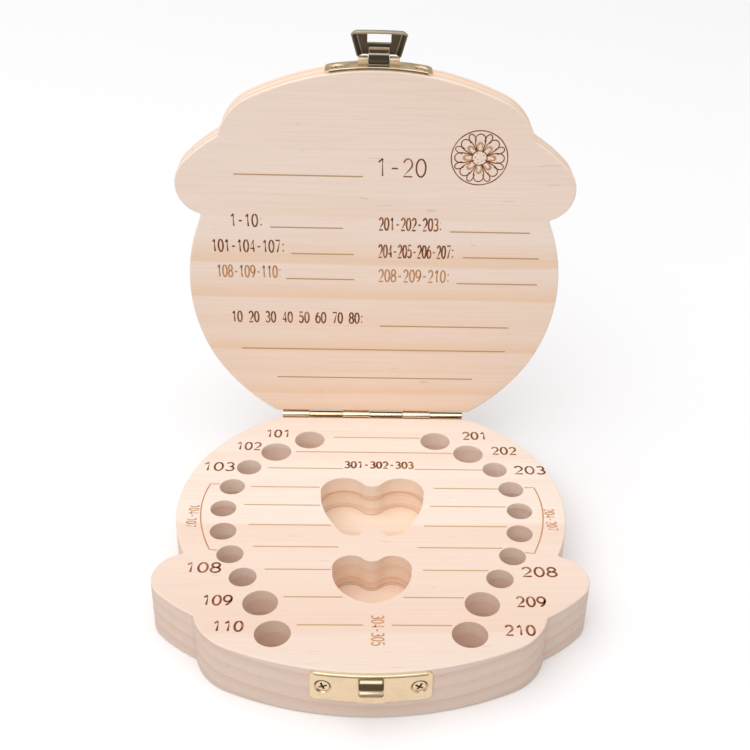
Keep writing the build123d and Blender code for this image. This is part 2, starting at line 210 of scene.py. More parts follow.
class ScrewSettings(bpy.types.PropertyGroup):
    """The cross-headed screws and the round-headed nails."""

    head_r: size("Head radius", "Radius of a screw's head", 1.75)
    head_sink: size("Head sink", "How deep a head's rim lies below the plate's face", 0.25)
    crown_h: size("Crown", "Height of the head's crown", 0.3)
    shank_r: size("Shank radius", "Radius of a screw's shank", 0.88)
    screw_l: size("Screw length", "From the plate's face to the tip", 7.45)
    thread_pitch: size("Thread pitch", "From crest to crest of the thread", 0.9)
    thread_h: size("Thread depth", "Depth of the thread", 0.22)
    cross_l: size("Cross length", "Length of each arm pair of the cross", 2.2)
    cross_w: size("Cross width", "Width of an arm of the cross", 0.52)
    cross_d: size("Cross depth", "Depth of the cross", 0.45)
    nail_head_r: size("Nail head radius", "Radius of a nail's head", 1.5)
    nail_head_h: size("Nail head height", "Height of a nail's head", 0.5)
    nail_shank_r: size("Nail shank radius", "Radius of a nail's shank", 0.6)
    nail_l: size("Nail length", "From the leaf's face to a nail's tip", 6.0)


class LeverSettings(bpy.types.PropertyGroup):
    """The pressed lever of the latch, measured from its pin."""

    sheet_t: size("Sheet", "Thickness of the lever", 0.55)
    strap_r: size("Strap radius", "Outside radius of the strap round the pin", 1.2)
    strap_w: size("Strap width", "Width of the strap", 6.2)
    near: size("Near end", "From the pin to the channel", 1.7)
    strap_end: size("Strap end", "From the pin to the strap's free end", 4.8)
    fold: size("Fold", "From the pin to where the strap meets the body", 2.4)
    far: size("Far end", "From the pin to the channel's far end", 9.9)
    near_rim_w: size("Near rim width", "Width over the rims at the near end", 13.3)
    far_rim_w: size("Far rim width", "Width over the rims at the far end", 16.9)
    near_flat_w: size("Near flat width", "Width of the flat at the near end", 10.6)
    far_flat_w: size("Far flat width", "Width of the flat at the far end", 14.3)
    rim_drop: size("Rim drop", "From the flat's face to the rims", 1.6)
    bend: size("Bend", "How far a bend reaches along the sheet from its corner", 0.7)
    window_near: size("Window near end", "From the pin to the window", 5.8)
    window_far: size("Window far end", "From the pin to the window's far end", 9.5)
    window_w: size("Window width", "Width of the window", 7.1)
    lip_l: size("Lip length", "How far the end lip stands from the flat", 1.6)
    lip_arch: size("Lip arch", "How much lower the lip lies at its ends", 0.25)
    edge_ease: size("Edge ease", "Rounding of the sheet's edges", 0.12)


class HingeSettings(bpy.types.PropertyGroup):
    """The brass butt hinge."""

    sheet_t: size("Sheet", "Thickness of a leaf", 0.65)
    barrel_r: size("Barrel radius", "Radius of the knuckles", 1.3)
    pin_r: size("Pin radius", "Radius of the pins", 0.6)
    pin_ease: size("Pin ease", "Rounding of the pins' ends", 0.18)
    reach: size("Leaf reach", "From the axis to a leaf's edge", 8.5)
    lid_knuckle_l: size("Lid knuckle", "Length of a knuckle of the lid's leaf", 9.3)
    base_knuckle_l: size("Block knuckle", "Length of a knuckle of the block's leaf", 11.4)
    knuckle_gap: size("Knuckle gap", "Gap between knuckles", 0.15)
    ease: size("Edge ease", "Rounding of the edges", 0.12)


class StageSettings(bpy.types.PropertyGroup):
    """The camera, the floor and the lights."""

    eye: place("Eye", "Where the camera stands", (-2.4, -275.9, 240.5))
    yaw: turn("Yaw", "How far the camera turns to the right", 2.63)
    pitch: turn("Pitch", "How far the camera looks down", 31.17)
    roll: turn("Roll", "How far the camera tips", 2.18)
    lens: bpy.props.FloatProperty(name="Lens", description="Focal length", default=55.2, min=1, unit="CAMERA")
    shift_x: bpy.props.FloatProperty(name="Shift X", description="Sideways shift of the view", default=-0.0489)
    shift_y: bpy.props.FloatProperty(name="Shift Y", description="Upward shift of the view", default=-0.0076)
    floor: colour("Floor", "Colour of the floor", 253, 252, 253)
    floor_w: size("Floor width", "Width of the floor", 6000)
    floor_bounce: share("Floor bounce", "How much light the floor sends back at the box", 0.6)
    ambient: share("Ambient", "Light from all round", 0.53, 5)
    top_power: share("Top light", "Power of the soft light above, in watts", 98, 500)
    front_power: share("Front light", "Power of the soft light in front, in watts", 2.1, 200)
    flag: colour("Flag", "Colour of the cards that metal mirrors", 70, 64, 54)
    flag_w: size("Flag width", "Width of the cards that metal mirrors", 3200)


SETTINGS = {
    "tooth_box_pine": PineSettings,
    "tooth_box_engraving": EngravingSettings,
    "tooth_box_brass": BrassSettings,
    "tooth_box_plate": PlateSettings,
    "tooth_box_screw": ScrewSettings,
    "tooth_box_lever": LeverSettings,
    "tooth_box_hinge": HingeSettings,
    "tooth_box_stage": StageSettings,
}


def settings(context, name):
    """One group of the scene's settings."""
    return getattr(context.scene, "tooth_box_" + name)


# Places


def swung(points, joint_name, degrees):
    """Points turned about a joint's axis. Positive turns are the joint's own opening way."""
    joint = JOINTS[joint_name]
    pivot = Vector(joint["pos_m"])
    spin = Matrix.Rotation(radians(degrees), 4, Vector(joint["axis"]))
    moved = np.array(Matrix.Translation(pivot) @ spin @ Matrix.Translation(-pivot))
    return np.asarray(points) @ moved[:3, :3].T + moved[:3, 3]


def at_rest(points, body):
    """Points of a body of the closed box, carried to rest by the joints that the body hangs on."""
    for joint_name in {"base": (), "lid": ("lid_hinge",), "lever": ("lid_hinge", "lever_pivot")}[body]:
        points = swung(points, joint_name, -JOINTS[joint_name]["range_deg"][0])
    return np.asarray(points)


# The two axes and the lid's inner face, all in the closed box
HINGE = Vector(JOINTS["lid_hinge"]["pos_m"])
LATCH = Vector(swung(JOINTS["lever_pivot"]["pos_m"], "lid_hinge", JOINTS["lid_hinge"]["range_deg"][0]))
LID_FACE_Z = 2 * HINGE.z - BLOCK_HIGH.z


# Meshes

# The angle from which an edge between two faces is drawn sharp
CREASE_DEG = 38


def grid_quads(rows, columns, offset=0, loop=False):
    """Faces of a grid of points, in rows. With loop, each row closes on itself."""
    index = offset + np.arange(rows * columns).reshape(rows, columns)
    if loop:
        index = np.concatenate((index, index[:, :1]), 1)
    quads = np.stack((index[:-1, :-1], index[:-1, 1:], index[1:, 1:], index[1:, :-1]), -1)
    return quads.reshape(-1, 4).tolist()


def rod(rings):
    """A closed solid from rings of points, one behind the other, with a face at each end."""
    stations, around = rings.shape[:2]
    faces = grid_quads(stations, around, loop=True)
    last = (stations - 1) * around
    faces.append(list(range(around))[::-1])
    faces.append(list(range(last, last + around)))
    return rings.reshape(-1, 3), faces


def slab(face, back):
    """A closed solid from two grids of points with the same rows and columns, joined at their edges."""
    rows, columns = face.shape[:2]
    count = rows * columns
    index = np.arange(count).reshape(rows, columns)
    rim = np.concatenate((index[0], index[1:, -1], index[-1, -2::-1], index[-2:0:-1, 0]))
    ahead = np.roll(rim, -1)
    walls = np.stack((rim, ahead, ahead + count, rim + count), -1)
    faces = grid_quads(rows, columns) + grid_quads(rows, columns, count) + walls.tolist()
    return np.concatenate((face.reshape(-1, 3), back.reshape(-1, 3))), faces


def together(*solids):
    """Several solids as the points and faces of one mesh."""
    points, faces, count = [], [], 0
    for solid_points, solid_faces in solids:
        points.append(solid_points)
        faces += [[corner + count for corner in face] for face in solid_faces]
        count += len(solid_points)
    return np.concatenate(points), faces


def padded_to(values, count):
    """The numbers in one row, with zeros after them up to a count."""
    return np.pad(np.ravel(values), (0, count - np.size(values)))


def piece(name, solid, body, material, replaced=(), marks=None):
    """A finished piece from a solid of the closed box: at rest, welded, faces outwards, riding on a body.

    The marks are one number at each point under a name, such as how worn the metal is there.
    """
    points, faces = solid
    mesh = bpy.data.meshes.new(name)
    mesh.from_pydata(at_rest(points, body).tolist(), [], faces)
    for mark, values in (marks or {}).items():
        mesh.attributes.new(mark, "FLOAT", "POINT").data.foreach_set("value", np.asarray(values, "f").ravel())
    shape = bmesh.new()
    shape.from_mesh(mesh)
    bmesh.ops.remove_doubles(shape, verts=shape.verts, dist=1e-7)
    bmesh.ops.dissolve_degenerate(shape, dist=1e-8, edges=shape.edges)
    bmesh.ops.recalc_face_normals(shape, faces=shape.faces)
    shape.to_mesh(mesh)
    shape.free()
    mesh.shade_smooth()
    mesh.set_sharp_from_angle(angle=radians(CREASE_DEG))
    mesh.materials.append(material)
    made = bpy.data.objects.new(name, mesh)
    bpy.context.scene.collection.objects.link(made)
    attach(made, body)
    if replaced:
        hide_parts(*replaced)
    return made


def dense(start, end, steps):
    """Numbers from start to end that crowd towards both, as a cosine does."""
    return start + (end - start) * (1 - np.cos(np.linspace(0, np.pi, steps))) / 2


def smooth(low, high, values):
    """0 below low, 1 above high, and an S curve between them."""
    t = np.clip((values - low) / (high - low), 0, 1)
    return t * t * (3 - 2 * t)


def ways(bearing):
    """A unit vector at each bearing: its cosine and its sine."""
    return np.stack((np.cos(bearing), np.sin(bearing)), -1)


def quadratic(start, knee, end, t):
    """A quadratic curve: start times (1 - t) squared, plus knee times 2 t (1 - t), plus end times t squared."""
    return (1 - t) ** 2 * start + 2 * t * (1 - t) * knee + t**2 * end


def leftward(along):
    """The unit vector to the left of each step of a path: the step turned a quarter, over its length."""
    along = along / np.linalg.norm(along, axis=1, keepdims=True)
    return np.stack((-along[:, 1], along[:, 0]), 1)


def arc(centre_x, centre_y, radius_x, radius_y, start_deg, end_deg, steps=14):
    """Points of an ellipse's arc: its centre plus the radii times the cosine and sine of the turn."""
    turned = np.radians(np.linspace(start_deg, end_deg, steps))
    return ways(turned) * (radius_x, radius_y) + (centre_x, centre_y)


def rounded(corners, radius, steps=5):
    """A closed outline with each corner rounded: a quadratic curve between points a radius from it."""
    corners = np.asarray(corners, float)
    to_last = np.roll(corners, 1, 0) - corners
    to_next = np.roll(corners, -1, 0) - corners
    last_l, next_l = (np.linalg.norm(way, axis=1, keepdims=True) for way in (to_last, to_next))
    reach = np.minimum(radius, np.minimum(last_l, next_l) * 0.45)
    start, end = corners + to_last / last_l * reach, corners + to_next / next_l * reach
    t = np.linspace(0, 1, steps)[None, :, None]
    return quadratic(start[:, None], corners[:, None], end[:, None], t).reshape(-1, 2)


def inward(section):
    """The inward normal at each point of a closed outline, from the points beside it."""
    ahead = np.roll(section, -1, 0)
    area = np.sum(section[:, 0] * ahead[:, 1] - section[:, 1] * ahead[:, 0])
    return leftward(ahead - np.roll(section, 1, 0)) * np.sign(area)


def bar(section, start_x, end_x, ease):
    """A bar along X with the section (y, z): near each end it draws in as a quarter circle does."""
    turned = np.linspace(0, np.pi / 2, 6)
    from_end, drawn_in = ease * (1 - np.cos(turned)), ease * (1 - np.sin(turned))
    stations = np.concatenate((start_x + from_end, (end_x - from_end)[::-1]))
    insets = np.concatenate((drawn_in, drawn_in[::-1]))
    flat = section[None] + inward(section)[None] * insets[:, None, None]
    across = np.broadcast_to(stations[:, None, None], flat.shape[:2] + (1,))
    return rod(np.concatenate((across, flat), -1))


def strip(path, thickness):
    """The outline of a bent strip: its middle line moved half a thickness each way."""
    side = leftward(np.gradient(path, axis=0)) * thickness / 2
    return np.concatenate((path + side, (path - side)[::-1]))


def lathe(radii, heights, steps):
    """Points turned about the third axis: each radius at its height, round a full turn."""
    bearing = np.linspace(0, 2 * np.pi, steps, endpoint=False)
    radii, heights = np.asarray(radii)[:, None], np.asarray(heights)[:, None]
    return np.stack(np.broadcast_arrays(radii * np.cos(bearing), radii * np.sin(bearing), heights), -1)


def on_seat(points, foot, out):
    """Points of an upright shape, stood on a foot so that its third axis faces out."""
    turned = np.array(Vector(out).to_track_quat("Z", "X").to_matrix())
    return np.asarray(points) @ turned.T + np.asarray(foot)


# Materials


def fill(tree, made, links):
    """Fill a node's inputs by numbers, colours or other nodes' sockets."""
    for name, value in links.items():
        if isinstance(value, bpy.types.NodeSocket):
            tree.links.new(value, made.inputs[name])
        else:
            made.inputs[name].default_value = value


def node(tree, kind, links=None, **values):
    """A shader node with its values set and its inputs filled."""
    made = tree.nodes.new(kind)
    for name, value in values.items():
        setattr(made, name, value)
    fill(tree, made, links or {})
    return made


def calc(tree, operation, *values):
    """The result of one sum on sockets or numbers."""
    return node(tree, "ShaderNodeMath", dict(enumerate(values)), operation=operation).outputs[0]


def times(tree, first, second):
    """The product of two sockets or numbers."""
    return calc(tree, "MULTIPLY", first, second)


def plus(tree, first, second):
    """The sum of two sockets or numbers."""
    return calc(tree, "ADD", first, second)


def magnitude(tree, value):
    """A socket's value without its sign."""
    return calc(tree, "ABSOLUTE", value)


def ramp(tree, value, low, high, start=0.0, end=1.0):
    """A value carried from one range to another by an S curve."""
    links = {0: value, 1: low, 2: high, 3: start, 4: end}
    return node(tree, "ShaderNodeMapRange", links, interpolation_type="SMOOTHSTEP").outputs[0]


def blend_colours(tree, factor, first, second, blend_type="MIX"):
    """Two colours mixed by a factor."""
    first, second = (
        value if isinstance(value, bpy.types.NodeSocket) else (*value[:3], 1) for value in (first, second)
    )
    links = {0: factor, 6: first, 7: second}
    return node(tree, "ShaderNodeMix", links, data_type="RGBA", blend_type=blend_type).outputs[2]


def parts_of(tree, vector):
    """The three parts of a vector."""
    return node(tree, "ShaderNodeSeparateXYZ", {0: vector}).outputs


def new_material(name):
    """A material with its node tree and its shader."""
    material = bpy.data.materials.new(name)
    material.use_nodes = True
    return material, material.node_tree, material.node_tree.nodes["Principled BSDF"]


def relief(tree, height, strength, depth_mm):
    """The normal of a surface raised by a height."""
    links = {"Height": height, "Strength": strength, "Distance": depth_mm * MM}
    return node(tree, "ShaderNodeBump", links).outputs[0]


def lit(shade, light):
    """A colour times a plain number, no brighter than white."""
    return [min(1.0, value * light) for value in shade]


def seen_ray(tree):
    """1 on a ray that shows the stage itself: to the camera, in a mirror or through glass."""
    path = node(tree, "ShaderNodeLightPath").outputs
    seen = calc(tree, "MAXIMUM", path["Is Camera Ray"], path["Is Glossy Ray"])
    return calc(tree, "MAXIMUM", seen, path["Is Transmission Ray"])


def noise(tree, vector, stretch, scale, detail=2.0, roughness=0.5):
    """A noise value on a vector that is first stretched by a factor along each axis."""
    mapped = node(tree, "ShaderNodeMapping", {"Vector": vector, "Scale": stretch}).outputs[0]
    links = {"Vector": mapped, "Scale": scale, "Detail": detail, "Roughness": roughness}
    return node(tree, "ShaderNodeTexNoise", links).outputs[0]


def group(name, inputs, outputs):
    """An empty node group with named inputs and outputs."""
    tree = bpy.data.node_groups.new(name, "ShaderNodeTree")
    for direction, sockets in (("INPUT", inputs), ("OUTPUT", outputs)):
        for socket_name, kind in sockets.items():
            tree.interface.new_socket(socket_name, in_out=direction, socket_type="NodeSocket" + kind)
    return tree, tree.nodes.new("NodeGroupInput").outputs, tree.nodes.new("NodeGroupOutput").inputs


def grouped(tree, shared, links):
    """The outputs of a node group placed in a material."""
    return node(tree, "ShaderNodeGroup", links, node_tree=shared).outputs[:]


def grain_group():
    """Pine grain: rings round a pith that runs along X, and fibres drawn out along X."""
    found = bpy.data.node_groups.get("pine_grain")
    if found:
        return found
    tree, given, result = group(
        "pine_grain",
        {"Vector": "Vector", "Ring Gap": "Float", "Waver": "Float", "Years": "Float"},
        {"Late Wood": "Float", "Fibre": "Float", "Cloud": "Float", "Fleck": "Float"},
    )
    vector = given["Vector"]
    slow = noise(tree, vector, (0.22, 1, 1), 22, 2, 0.45)
    fine = noise(tree, vector, (0.12, 1, 1), 130, 2, 0.5)
    _, up, across = parts_of(tree, vector)
    from_pith = calc(tree, "SQRT", plus(tree, calc(tree, "POWER", up, 2), calc(tree, "POWER", across, 2)))
    strayed = times(tree, calc(tree, "SUBTRACT", slow, 0.5), given["Waver"])
    shaken = times(tree, calc(tree, "SUBTRACT", fine, 0.5), times(tree, given["Waver"], 0.12))
    years = calc(tree, "DIVIDE", plus(tree, from_pith, plus(tree, strayed, shaken)), given["Ring Gap"])
    season = calc(tree, "FRACT", years)
    counted = plus(tree, calc(tree, "FLOOR", years), given["Years"])
    breadth = node(tree, "ShaderNodeTexWhiteNoise", {"W": counted}, noise_dimensions="1D").outputs[0]
    growth = calc(tree, "POWER", ramp(tree, season, 0.12, 0.93), 1.7)
    ring = times(tree, growth, ramp(tree, season, 0.995, 0.93))
    tree.links.new(times(tree, ring, ramp(tree, breadth, 0.25, 0.75, 0.3, 1.0)), result["Late Wood"])
    tree.links.new(noise(tree, vector, (0.018, 1, 1), 1500, 3, 0.6), result["Fibre"])
    tree.links.new(noise(tree, vector, (0.3, 1, 1), 14, 3, 0.55), result["Cloud"])
    dots = noise(tree, vector, (0.16, 1, 1), 900, 0, 0.5)
    tree.links.new(ramp(tree, dots, 0.80, 0.86), result["Fleck"])
    return tree


# The hollows of the block: half the side of the square that the wells lie in, where the pockets give way
# to the wells on each side, where the front pocket begins, and the heights of the darker lines, at the
# ledge and at the foot of the walls, where the lower one is painted shade in the crease, each in the pocket
# behind and in the one in front
WELLS_REACH = 54.4 * MM
POCKETS_EDGE = (17.5 * MM, 18.5 * MM)
FRONT_POCKET_Y = -9 * MM
LEDGE_AND_CREASE_LINES = ((11.6 * MM, 6.6 * MM), (5.7 * MM, 6.0 * MM))


def hollow_shade(tree, places, pine_set):
    """Painted shade on the block: how much of its colour each place keeps, and masks of its pockets and lines.

    The wood is darkened as painted shade in the wells, low down and towards the front. Wells lie inside a
    square with rounded corners, which a sum of fourth powers draws, but not in its middle, where the two
    pockets are. Each pocket has a darker line along the ledge of its first pass and one where its walls meet
    its floor, which is painted shade in that crease.
    """
    x, y, z = places
    aside = magnitude(tree, x)
    sides = (magnitude(tree, calc(tree, "DIVIDE", value, WELLS_REACH)) for value in (x, y))
    inside = ramp(tree, plus(tree, *(calc(tree, "POWER", side, 4) for side in sides)), 0.99, 0.93)
    deep = ramp(tree, z, BLOCK_HIGH.z - 0.4 * MM, BLOCK_HIGH.z - 1.2 * MM)
    in_well = times(tree, times(tree, inside, deep), ramp(tree, aside, *POCKETS_EDGE))
    low = ramp(tree, z, BLOCK_HIGH.z * 0.75, 0.0)
    ahead = ramp(tree, y, BLOCK_HIGH.y, BLOCK_LOW.y)
    # Painted shade: the wood keeps less of its colour in the wells, low down and towards the front
    kept = 1.0
    for mask, share_kept in ((in_well, pine_set.well), (low, pine_set.low), (ahead, pine_set.front)):
        kept = times(tree, kept, calc(tree, "MULTIPLY_ADD", mask, share_kept - 1, 1))
    in_front = calc(tree, "LESS_THAN", y, FRONT_POCKET_Y)
    lines = []
    for height, front_height in LEDGE_AND_CREASE_LINES:
        level = calc(tree, "MULTIPLY_ADD", in_front, front_height - height, height)
        off = magnitude(tree, calc(tree, "SUBTRACT", z, level))
        lines.append(ramp(tree, off, 0.19 * MM, 0.08 * MM))
    between = times(tree, inside, ramp(tree, aside, *POCKETS_EDGE[::-1]))
    return kept, times(tree, deep, between), times(tree, calc(tree, "MAXIMUM", *lines), between)


def pine(name, pine_set, board, band, across_axis, painted_shade_ramp_from, painted_shade_ramp_to):
    """Bare sanded pine of a board, darkened along it as painted shade.

    The axis across it, 1 or 2, is the one that its eased edges turn from.
    """
    early, late, pith, ring_gap, years, painted_shade_ramp = (
        getattr(pine_set, f"{board}_{word}") for word in ("early", "late", "pith", "ring_gap", "years", "painted_shade_ramp")
    )
    material, tree, shader = new_material(name)
    where = node(tree, "ShaderNodeTexCoord").outputs
    to_pith = [-value for value in pith]
    centred = node(tree, "ShaderNodeMapping", {"Vector": where["Object"], "Location": to_pith}).outputs[0]
    links = {"Vector": centred, "Ring Gap": ring_gap, "Waver": pine_set.ring_waver, "Years": years}
    late_wood, fibre, cloud, fleck = grouped(tree, grain_group(), links)
    places, normal = parts_of(tree, where["Object"]), parts_of(tree, where["Normal"])
    turned = magnitude(tree, normal[across_axis])
    shown = times(tree, ramp(tree, turned, 0.6, 0.2, 1.0, 1.7), band)
    end_grain = times(tree, calc(tree, "POWER", magnitude(tree, normal[0]), 2), 0.16)
    eased = times(tree, ramp(tree, turned, 0.05, 0.4), ramp(tree, turned, 0.97, 0.75, 0.0, 0.35))
    tone = early
    for mask, laid_on in (
        (times(tree, late_wood, shown), late),
        # Painted shade: darker and yellower towards one end of the board
        (ramp(tree, places[3 - across_axis], painted_shade_ramp_from, painted_shade_ramp_to, 0.0, painted_shade_ramp), late),
        (ramp(tree, cloud, 0.3, 0.75, 0.0, 0.28), late),
        (ramp(tree, fibre, 0.3, 0.8, 0.0, 0.2), lit(late, 0.84)),
        (end_grain, lit(late, 0.72)),
        (eased, lit(early, 1.06)),
        (times(tree, fleck, 0.22), lit(late, 0.5)),
    ):
        tone = blend_colours(tree, mask, tone, laid_on)
    if board == "block":
        kept, in_pocket, line_here = hollow_shade(tree, places, pine_set)
        # Darker lines along the pockets' ledges, and painted shade where their walls meet their floors
        tone = blend_colours(tree, times(tree, line_here, 0.35), tone, pine_set.ledge_line_and_crease_shade)
        # Painted bounce light: the pockets' wood is tinted warm
        tone = blend_colours(tree, in_pocket, tone, pine_set.pocket, "MULTIPLY")
        # Painted shade: the block's colour darkened by the share it keeps
        shade = node(tree, "ShaderNodeCombineColor", {0: kept, 1: kept, 2: kept}).outputs[0]
        tone = blend_colours(tree, 1.0, tone, shade, "MULTIPLY")
    raised = plus(tree, times(tree, fibre, 0.6), times(tree, late_wood, -0.5))
    rough = ramp(tree, fibre, 0.2, 0.8, 0.52, 0.68)
    normal = relief(tree, raised, 0.35, 0.05)
    fill(tree, shader, {"Base Color": tone, "Roughness": rough, "Specular IOR Level": 0.35, "Normal": normal})
    return material


def finish_group():
    """Handled metal: soft smudges, fine scratches drawn out one way, and small dents."""
    found = bpy.data.node_groups.get("metal_handling")
    if found:
        return found
    tree, given, result = group(
        "metal_handling",
        {"Vector": "Vector"},
        {"Smudge": "Float", "Scratch": "Float", "Height": "Float"},
    )
    vector = given["Vector"]
    smudge = noise(tree, vector, (1, 1, 1), 260, 2, 0.45)
    scratch = noise(tree, vector, (0.08, 1, 1), 5200, 2, 0.55)
    dent = noise(tree, vector, (1, 1, 1), 900, 2, 0.5)
    tree.links.new(ramp(tree, smudge, 0.35, 0.7), result["Smudge"])
    tree.links.new(scratch, result["Scratch"])
    tree.links.new(plus(tree, times(tree, scratch, 0.25), times(tree, dent, 0.15)), result["Height"])
    return tree


def metal(name, brass, bright, dull, rougher):
    """Plated brass: dulled where handled, lighter on its rubbed edges and painted highlights, and darkened by
    painted shade in its recesses and gaps.
    """
    material, tree, shader = new_material(name)
    where = node(tree, "ShaderNodeTexCoord").outputs["Object"]
    smudge, scratch, height = grouped(tree, finish_group(), {"Vector": where})
    wear, dirt = (
        node(tree, "ShaderNodeAttribute", attribute_name=mark).outputs["Fac"] for mark in ("wear", "dirt")
    )
    plated = blend_colours(tree, times(tree, smudge, 0.35), bright, dull)
    # Lighter where rubbed, and painted highlights, where the mark of wear and highlight lies
    rubbed_and_highlit = blend_colours(tree, times(tree, wear, ramp(tree, scratch, 0.3, 0.6, 0.6, 1.0)), plated, brass.rubbed_and_highlight)
    # Painted shade: darker where the mark of painted shade lies
    tone = blend_colours(tree, dirt, rubbed_and_highlit, brass.painted_shade_colour)
    rough = plus(tree, times(tree, smudge, 0.1), times(tree, scratch, 0.08))
    rough = plus(tree, rough, times(tree, dirt, 0.4))
    rough = plus(tree, rough, brass.roughness + rougher - 0.05)
    normal = relief(tree, height, 0.08, 0.02)
    fill(tree, shader, {"Base Color": tone, "Metallic": 1.0, "Roughness": rough, "Normal": normal})
    return material


def char(name, dark, light, depth_low, depth_high):
    """Burnt wood of an engraved stroke: darker and lighter along it as the beam dwelt."""
    material, tree, shader = new_material(name)
    where = node(tree, "ShaderNodeTexCoord").outputs["Object"]
    dwell = noise(tree, where, (1, 1, 1), 240, 3, 0.65)
    grit = noise(tree, where, (0.3, 1, 1), 3800, 2, 0.6)
    burnt = plus(tree, times(tree, dwell, 0.75), times(tree, grit, 0.25))
    tone = blend_colours(tree, ramp(tree, burnt, depth_low, depth_high), dark, light)
    normal = relief(tree, grit, 0.5, 0.05)
    fill(tree, shader, {"Base Color": tone, "Roughness": 0.85, "Specular IOR Level": 0.15, "Normal": normal})
    return material


def material_of(context, key):
    """One of the object's materials, made the first time that it is asked for."""
    found = bpy.data.materials.get(key)
    if found:
        return found
    pine_set, burn, brass = (settings(context, name) for name in ("pine", "engraving", "brass"))
    # Pine: its board, how far its bands show, its axis across, and from where to where its painted shade runs.
    # Metal: two colours and how much rougher than polished. Char: two colours and the burn that parts them.
    maker, *values = {
        "pine_of_block": (pine, pine_set, "block", 0.5, 2, 45 * MM, -60 * MM),
        "pine_of_lid": (pine, pine_set, "lid", 0.52, 1, 95 * MM, 60 * MM),
        "bright_brass": (metal, brass, brass.bright, brass.dull, 0),
        "satin_brass": (metal, brass, brass.bright, brass.dull, 0.2),
        # The lever's two materials take the dark lever colours, which paint the dark reflections seen in it
        "lever_plating": (metal, brass, brass.shaded, brass.shaded_dull, 0.1),
        "rubbed_plating": (metal, brass, brass.lip, brass.shaded, 0.05),
        "burnt_rule": (char, burn.light_burn, burn.rule, 0.1, 0.5),
        "burnt_figure": (char, burn.dark_burn, burn.light_burn, 0.42, 0.75),
        "faint_figure": (char, burn.dark_burn, burn.light_burn, 0.15, 0.5),
        "toasted_wash": (char, burn.light_burn, burn.wash, 0.3, 0.6),
    }[key]
    return maker(key, *values)


# Engraving


def line(*points):
    """The points of a bent line."""
    return np.array(points, float)


# Strokes of the figures, in shares of a figure's width and height
FIGURE_SHARES = {
    "0": [arc(0.5, 0.5, 0.5, 0.5, 90, 450, 30)],
    "1": [line((0.15, 0.78), (0.6, 1), (0.6, 0))],
    "2": [np.concatenate((arc(0.5, 0.7, 0.45, 0.3, 165, -40), line((0.03, 0), (1, 0))))],
    "3": [np.concatenate((arc(0.45, 0.75, 0.42, 0.25, 150, -85), arc(0.45, 0.26, 0.52, 0.26, 85, -150)))],
    "4": [line((0.76, 0), (0.76, 1), (0, 0.3), (1, 0.3))],
    "5": [np.concatenate((line((0.92, 1), (0.16, 1), (0.08, 0.56)), arc(0.45, 0.32, 0.5, 0.32, 130, -150)))],
    "6": [np.concatenate((arc(1, 0.32, 1, 0.7, 107, 176), arc(0.5, 0.32, 0.5, 0.32, 180, 540, 28)))],
    "7": [line((0, 1), (1, 1), (0.38, 0))],
    "8": [arc(0.5, 0.76, 0.42, 0.24, -90, 270, 26), arc(0.5, 0.26, 0.5, 0.26, 90, 450, 26)],
    "-": [line((0.15, 0.45), (0.85, 0.45))],
    ":": [line((0.3, 0.6), (0.3, 0.72)), line((0.3, 0.08), (0.3, 0.2))],
    " ": [],
}
FIGURE_SHARES["9"] = [1 - stroke for stroke in FIGURE_SHARES["6"]]

# Rows of ruled lines on the block: each row's place up the board, then where each line starts and ends, in mm
BLOCK_RULES = (
    (47.8, -13.3, 16.3),
    (39.1, -25.5, 26.7),
    (29.8, -34.0, -9.6, 13.8, 36.3),
    (19.6, -38.7, -16.8, 19.6, 40.6),
    (10.3, -39.9, -16.2, 18.1, 42.1),
    (0.5, -37.7, -12.6, 15.9, 41.4),
    (-9.7, -35.5, -10.0, 13.7, 39.1),
    (-19.8, -31.1, -11.9, 14.8, 34.1),
    (-31.4, -24.9, -8.2, 8.9, 26.2),
    (-42.5, -20.5, -2.3, 5.5, 22.2),
)
# Brackets beside the front teeth's wells: the upper arm's ends, the bow's middle and lower end, and the
# lower arm's end
BLOCK_BRACKETS = (
    (line((-48.7, 20.8), (-51.6, 20.8)), line((-52.8, 5.4), (-48.1, -11.3)), line((-45.8, -11.6))),
    (line((49.0, 20.5), (52.1, 20.5)), line((53.2, 5.0), (48.5, -11.9)), line((45.7, -11.6))),
)
# Figures on the block: what they say, their middle across and up, their height, width and turn
BLOCK_FIGURES = (
    ("101", -32.2, 49.6, 4.2, 8.0, 0),
    ("102", -41.5, 42.0, 4.2, 8.0, 0),
    ("103", -50.1, 30.2, 4.4, 10.0, 0),
    ("104-107", -55.1, 4.5, 2.9, 10.7, -90),
    ("108", -48.9, -19.3, 4.1, 10.0, 0),
    ("109", -43.3, -33.0, 3.9, 8.1, 0),
    ("110", -39.2, -43.2, 3.8, 8.1, 0),
    ("201", 35.0, 49.6, 4.2, 8.0, 0),
    ("202", 44.3, 40.9, 4.0, 8.0, 0),
    ("203", 51.8, 30.0, 4.1, 10.0, 0),
    ("204-207", 55.5, 4.2, 2.9, 10.4, -90),
    ("208", 48.9, -20.2, 3.9, 10.0, 0),
    ("209", 45.0, -32.8, 3.9, 8.1, 0),
    ("210", 40.7, -44.2, 3.7, 8.1, 0),
    ("301-302-303", 2.2, 32.0, 3.5, 22.4, 0),
    ("304-305", 1.7, -44.5, 3.3, 11.4, -90),
)
# Ruled lines of the closed lid's inner face, as on the block
LID_RULES = (
    (-26.7, -44.8, -4.3),
    (-9.1, -33.8, -10.5),
    (0.0, -27.3, -7.0),
    (9.0, -29.2, -6.8),
    (-8.6, 23.7, 49.7),
    (0.4, 28.4, 53.4),
    (9.8, 26.8, 53.6),
    (26.1, 1.8, 45.3),
    (35.3, -44.6, 44.8),
    (46.4, -33.0, 34.2),
)
